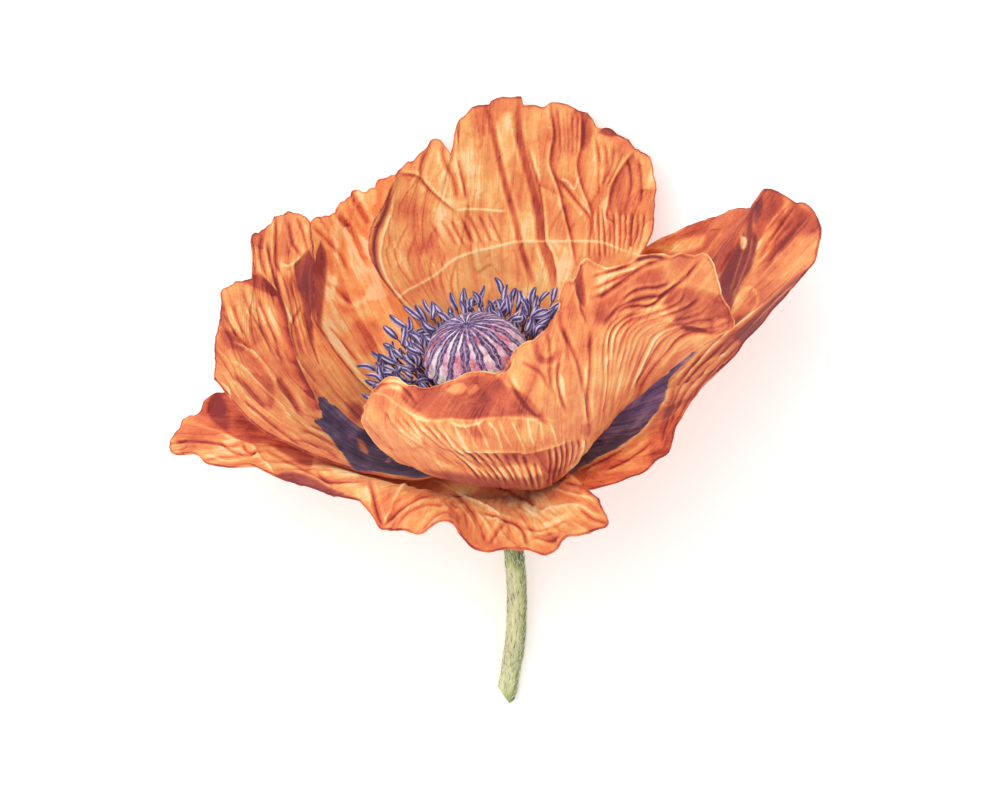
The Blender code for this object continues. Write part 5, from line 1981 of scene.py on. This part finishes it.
@dataclass
class Stem:
    """Cut stem with the receptacle that it widens into, and its bristles.

    Attributes:
        node: The CAD node that it replaces.
        collar: (radius, height) points of the receptacle along the flower axis.
        line: Centre points of the stem with its radius.
        tip: How far the oblique cut reaches.
        tip_x: Where its point lies across the stem.
        cut_breadth: How far from its point the cut reaches across the stem.
        cut_length: How much of the stem's end the cut bends.
        sides: How many sides the stem has.
        lines: How many rings of points it has.
        collar_lines: How many of them are the receptacle's.
        first_bristle: The ring that the bristles start at.
        cut_lines: How many rings at the cut have bristles of their own.
        cut_share: One bristle in this many stands at the cut.
        bristles: Number of bristles.
        seed: Seed of its furrows and bristles.
    """

    node: str = "stem"
    collar: Sequence[Point2] = (
        (5.9, 2.0), (6.5, 1.6), (6.6, 0.0), (6.5, -1.8), (5.6, -3.2), (4.2, -4.2), (3.1, -5.2),
        (2.6, -6.2))
    line: Sequence[tuple[Point3, float]] = (
        ((1.30, -14.0, 21.4), 2.3), ((2.80, -22.0, 15.6), 2.2), ((4.20, -32.0, 9.6), 2.2),
        ((5.10, -41.0, 5.8), 2.2), ((5.30, -49.0, 3.8), 2.2), ((4.85, -57.0, 2.8), 2.2),
        ((3.75, -63.0, 2.3), 2.15), ((2.85, -66.4, 2.1), 2.1))
    tip: float = 3.9
    tip_x: float = 3.6
    cut_breadth: float = 3.5
    cut_length: float = 3.5
    sides: int = 56
    lines: int = 170
    collar_lines: int = 40
    first_bristle: int = 44
    cut_lines: int = 16
    cut_share: int = 9
    bristles: int = 3200
    seed: int = 7

    def centre(self) -> tuple[Array, Array]:
        """Return the fine centre line and its radii, receptacle included."""
        top = [(*(RECEPTACLE + height * AXIS), radius) for radius, height in self.collar]
        low = [(*point, radius) for point, radius in self.line]
        control = np.array(top + low, float)
        knots = chord_knots(control[:, :3])
        places = np.concatenate((
            np.linspace(0, knots[len(top)], self.collar_lines, endpoint=False),
            np.linspace(knots[len(top)], 1.0, self.lines - self.collar_lines)))
        fine = smooth_curve(control, knots, places)
        return fine[:, :3], fine[:, 3]

    def build(self, material: bpy.types.Material) -> bpy.types.Object:
        """Build the stem and give it to the frame.

        Args:
            material: Its finish.

        Returns:
            The piece.
        """
        line, radii = self.centre()
        _, across, over = line_frame(line, np.array((1.0, 0.0, 0.0)))
        turn = np.linspace(0.0, 2 * math.pi, self.sides, endpoint=False)
        noise = Crumple(self.seed)
        rows = len(line)
        distance = np.concatenate(([0.0], np.cumsum(
            np.linalg.norm(np.diff(line, axis=0), axis=1))))[:, None]
        furrow = noise.wave(np.broadcast_to(turn * 2.9, (rows, self.sides)), distance * 0.14)
        grain = noise.wave(np.broadcast_to(turn * 7.0 + 9.0, (rows, self.sides)), distance * 0.8)
        spread = radii[:, None] + 0.10 * furrow + 0.05 * grain
        ring = unit_rings(turn, across, over)
        points = line[:, None] + ring * spread[..., None]
        reach = np.maximum(1.0 - np.abs(points[..., 0] - self.tip_x) / self.cut_breadth, 0.0)
        drop = ease(distance[-1] - self.cut_length, distance[-1], distance)
        points[..., 1] -= self.tip * reach * drop
        points[..., 2] = np.maximum(points[..., 2], TABLE_GAP)
        flat = points.reshape(-1, 3)
        faces = tube_faces(rows, self.sides, flip=False)
        piece = make_piece("stem_dressed", flat, faces, material)
        side = ring[..., 0]
        # Painted shade on the right side and at both edges, a little painted light on the left.
        shade = 0.66 - 0.30 * ease(0.1, 0.9, side) + 0.08 * np.clip(-side, 0, 1)
        shade = shade - 0.20 * np.abs(side) ** 4 + 0.10 * furrow
        # Painted shadow of the petals, in a V under the bloom.
        shade = shade - 0.42 * ease(-41.2, -36.8, points[..., 1] - 1.4 * np.abs(side))
        shade = shade - 0.26 * ease(-66.5, -69.5, points[..., 1])
        store(piece, "shade", shade)
        uv = np.stack(np.broadcast_arrays(turn[None, :] / (2 * math.pi), distance / 60.0), -1)
        store_uv(piece, uv.reshape(-1, 2))
        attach(piece, BODY)
        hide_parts(self.node)
        log.info("%s: %d points", piece.name, len(flat))
        return piece

    def build_bristles(self, material: bpy.types.Material) -> bpy.types.Object:
        """Build the bristles, which lie close to the stem and point towards the bloom.

        Args:
            material: Their finish.

        Returns:
            The piece.
        """
        dice = np.random.default_rng(self.seed)
        line, radii = self.centre()
        tangent, across, over = line_frame(line, np.array((1.0, 0.0, 0.0)))
        left = np.linalg.norm(line - line[-1], axis=1)
        drop = ease(self.cut_length, 0.0, left)
        last = len(line) - 1
        points, faces, shades = [], [], []
        for number in range(self.bristles):
            at_cut = number % self.cut_share == 0
            row = dice.integers(len(line) - self.cut_lines if at_cut else self.first_bristle, last)
            turn = dice.uniform(0.0, 2 * math.pi)
            out = math.cos(turn) * across[row] + math.sin(turn) * over[row]
            foot = line[row] + out * (radii[row] - 0.05)
            part = max(1.0 - abs(foot[0] - self.tip_x) / self.cut_breadth, 0.0)
            foot[1] -= self.tip * part * float(drop[row])
            length = dice.uniform(1.0, 2.2)
            lean = dice.uniform(0.06, 0.26)
            sweep = np.cross(tangent[row], out) * dice.normal(0.0, 0.22)
            heading = -tangent[row] + out * lean + sweep
            heading /= np.linalg.norm(heading)
            middle = foot + heading * length * 0.5
            end = foot + heading * length - out * 0.12 * length * lean
            beside = np.cross(heading, out)
            beside /= np.linalg.norm(beside)
            above = np.cross(heading, beside)
            used = 7 * number
            for centre, girth in ((foot, 0.07), (middle, 0.05)):
                for spin in range(3):
                    bow = 2 * math.pi * spin / 3
                    points.append(centre + girth * (math.cos(bow) * beside + math.sin(bow) * above))
            points.append(end)
            for spin in range(3):
                after = (spin + 1) % 3
                faces.append((used + spin, used + after, used + 3 + after, used + 3 + spin))
                faces.append((used + 3 + spin, used + 3 + after, used + 6))
            faces.append((used + 2, used + 1, used))
            shades += [dice.uniform(0.0, 1.0)] * 7
        cloud = np.array(points)
        cloud[:, 2] = np.maximum(cloud[:, 2], TABLE_GAP)
        piece = make_piece("stem_bristles", cloud, faces, material)
        store(piece, "shade", np.array(shades))
        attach(piece, BODY)
        log.info("%s: %d bristles", piece.name, self.bristles)
        return piece


# --- studio


@dataclass
class Studio:
    """Pale table, soft light and the camera above.

    Attributes:
        width: How much of the flower's middle height the camera takes in, in metres.
        middle: That height, in metres.
        lens: Focal length, in millimetres.
        centre: The point that the camera looks at, on the table.
        sky: Strength of the light from all round.
        key: Strength of the main lamp.
        fill: Strength of the lamp at the front.
    """

    width: float = 0.22816
    middle: float = 0.045
    lens: float = 1000.0
    centre: Point2 = (0.00046, 0.000345)
    sky: float = 0.72
    key: float = 1.30
    fill: float = 0.40

    def build_table(self, material: bpy.types.Material) -> bpy.types.Object:
        """Lay the table under the flower.

        Args:
            material: Its finish.

        Returns:
            The table.
        """
        half = 7000.0
        corners = ((-half, -half, 0.0), (half, -half, 0.0), (half, half, 0.0), (-half, half, 0.0))
        table = make_piece("table", np.array(corners), [(0, 1, 2, 3)], material, False)
        return table

    def build_light(self) -> None:
        """Light the room evenly, with a wide soft key from above and a weaker fill."""
        world = bpy.data.worlds.new("soft_room")
        world.use_nodes = True
        tree = world.node_tree
        ground = tree.nodes["Background"]
        ground.inputs["Color"].default_value = (1.0, 1.0, 1.0, 1.0)
        seen = tree.nodes.new("ShaderNodeLightPath")
        level = tree.nodes.new("ShaderNodeMapRange")
        level.inputs["To Min"].default_value = self.sky
        level.inputs["To Max"].default_value = 1.0
        tree.links.new(seen.outputs["Is Camera Ray"], level.inputs["Value"])
        tree.links.new(level.outputs["Result"], ground.inputs["Strength"])
        bpy.context.scene.world = world
        self.hang_lamp("key_lamp", self.key, (-0.30, 0.34, 1.0), 50.0)
        self.hang_lamp("fill_lamp", self.fill, (0.25, -1.0, 0.75), 60.0)

    @staticmethod
    def hang_lamp(name: str, strength: float, place: Point3, width: float) -> None:
        """Hang a lamp far away, in the direction of a place.

        Args:
            name: Its name.
            strength: Its strength.
            place: Where it is, as seen from the flower.
            width: How wide it looks, in degrees.
        """
        lamp = bpy.data.lights.new(name, "SUN")
        lamp.energy = strength
        lamp.angle = math.radians(width)
        holder = bpy.data.objects.new(name, lamp)
        holder.location = place
        flat = math.hypot(place[0], place[1])
        turn = math.atan2(place[0], -place[1])
        holder.rotation_euler = (math.atan2(flat, place[2]), 0.0, turn)
        bpy.context.scene.collection.objects.link(holder)

    def build_camera(self) -> bpy.types.Object:
        """Hang the camera straight above the flower."""
        lens = bpy.data.cameras.new("overhead")
        lens.lens = self.lens
        lens.clip_start, lens.clip_end = 0.1, 20.0
        camera = bpy.data.objects.new("overhead", lens)
        height = self.middle + self.width * self.lens / lens.sensor_width
        camera.location = (*self.centre, height)
        bpy.context.scene.collection.objects.link(camera)
        bpy.context.scene.camera = camera
        return camera


# --- assembly


def set_tone_curve() -> None:
    """Keep colours as they are painted."""
    bpy.context.scene.view_settings.view_transform = "Standard"
    bpy.context.scene.view_settings.look = "None"


def main() -> None:
    """Build the flower piece by piece, then the studio round it."""
    logging.basicConfig(level=logging.INFO, format="%(name)s %(message)s")
    set_tone_curve()
    for petal in (BackPetal(), BackLeftPetal(), LeftPetal(), OuterFrontPetal(),
                  InnerFrontPetal(), RightPetal()):
        petal.build(petal.finish().material())
    Capsule().build(CapsuleFinish().material())
    dust = StamenFinish().material()
    rings = (
        StamenRing("stamens_inner", 1, 0.0, (
            (4.80, 2.5), (6.9, 5.2), (9.6, 9.5), (12.6, 15.5), (14.6, 20.0), (16.9, 24.4)),
            extra=60, seed=101),
        StamenRing("stamens_middle", 15, 12.9, (
            (5.45, 2.5), (8.2, 5.2), (12.4, 9.5), (16.4, 15.5), (18.8, 19.8), (21.7, 24.0)),
            extra=90, seed=102),
        StamenRing("stamens_outer", 29, 0.0, (
            (6.10, 2.5), (9.8, 5.0), (15.2, 9.0), (20.0, 15.0), (22.8, 19.6), (26.0, 23.8)),
            extra=86, seed=103),
    )
    for ring in rings:
        ring.build(dust)
    stem = Stem()
    stem.build(StemFinish().material())
    stem.build_bristles(BristleFinish().material())
    studio = Studio()
    studio.build_table(TableFinish().material())
    studio.build_light()
    studio.build_camera()


if __name__ == "__main__":
    main()
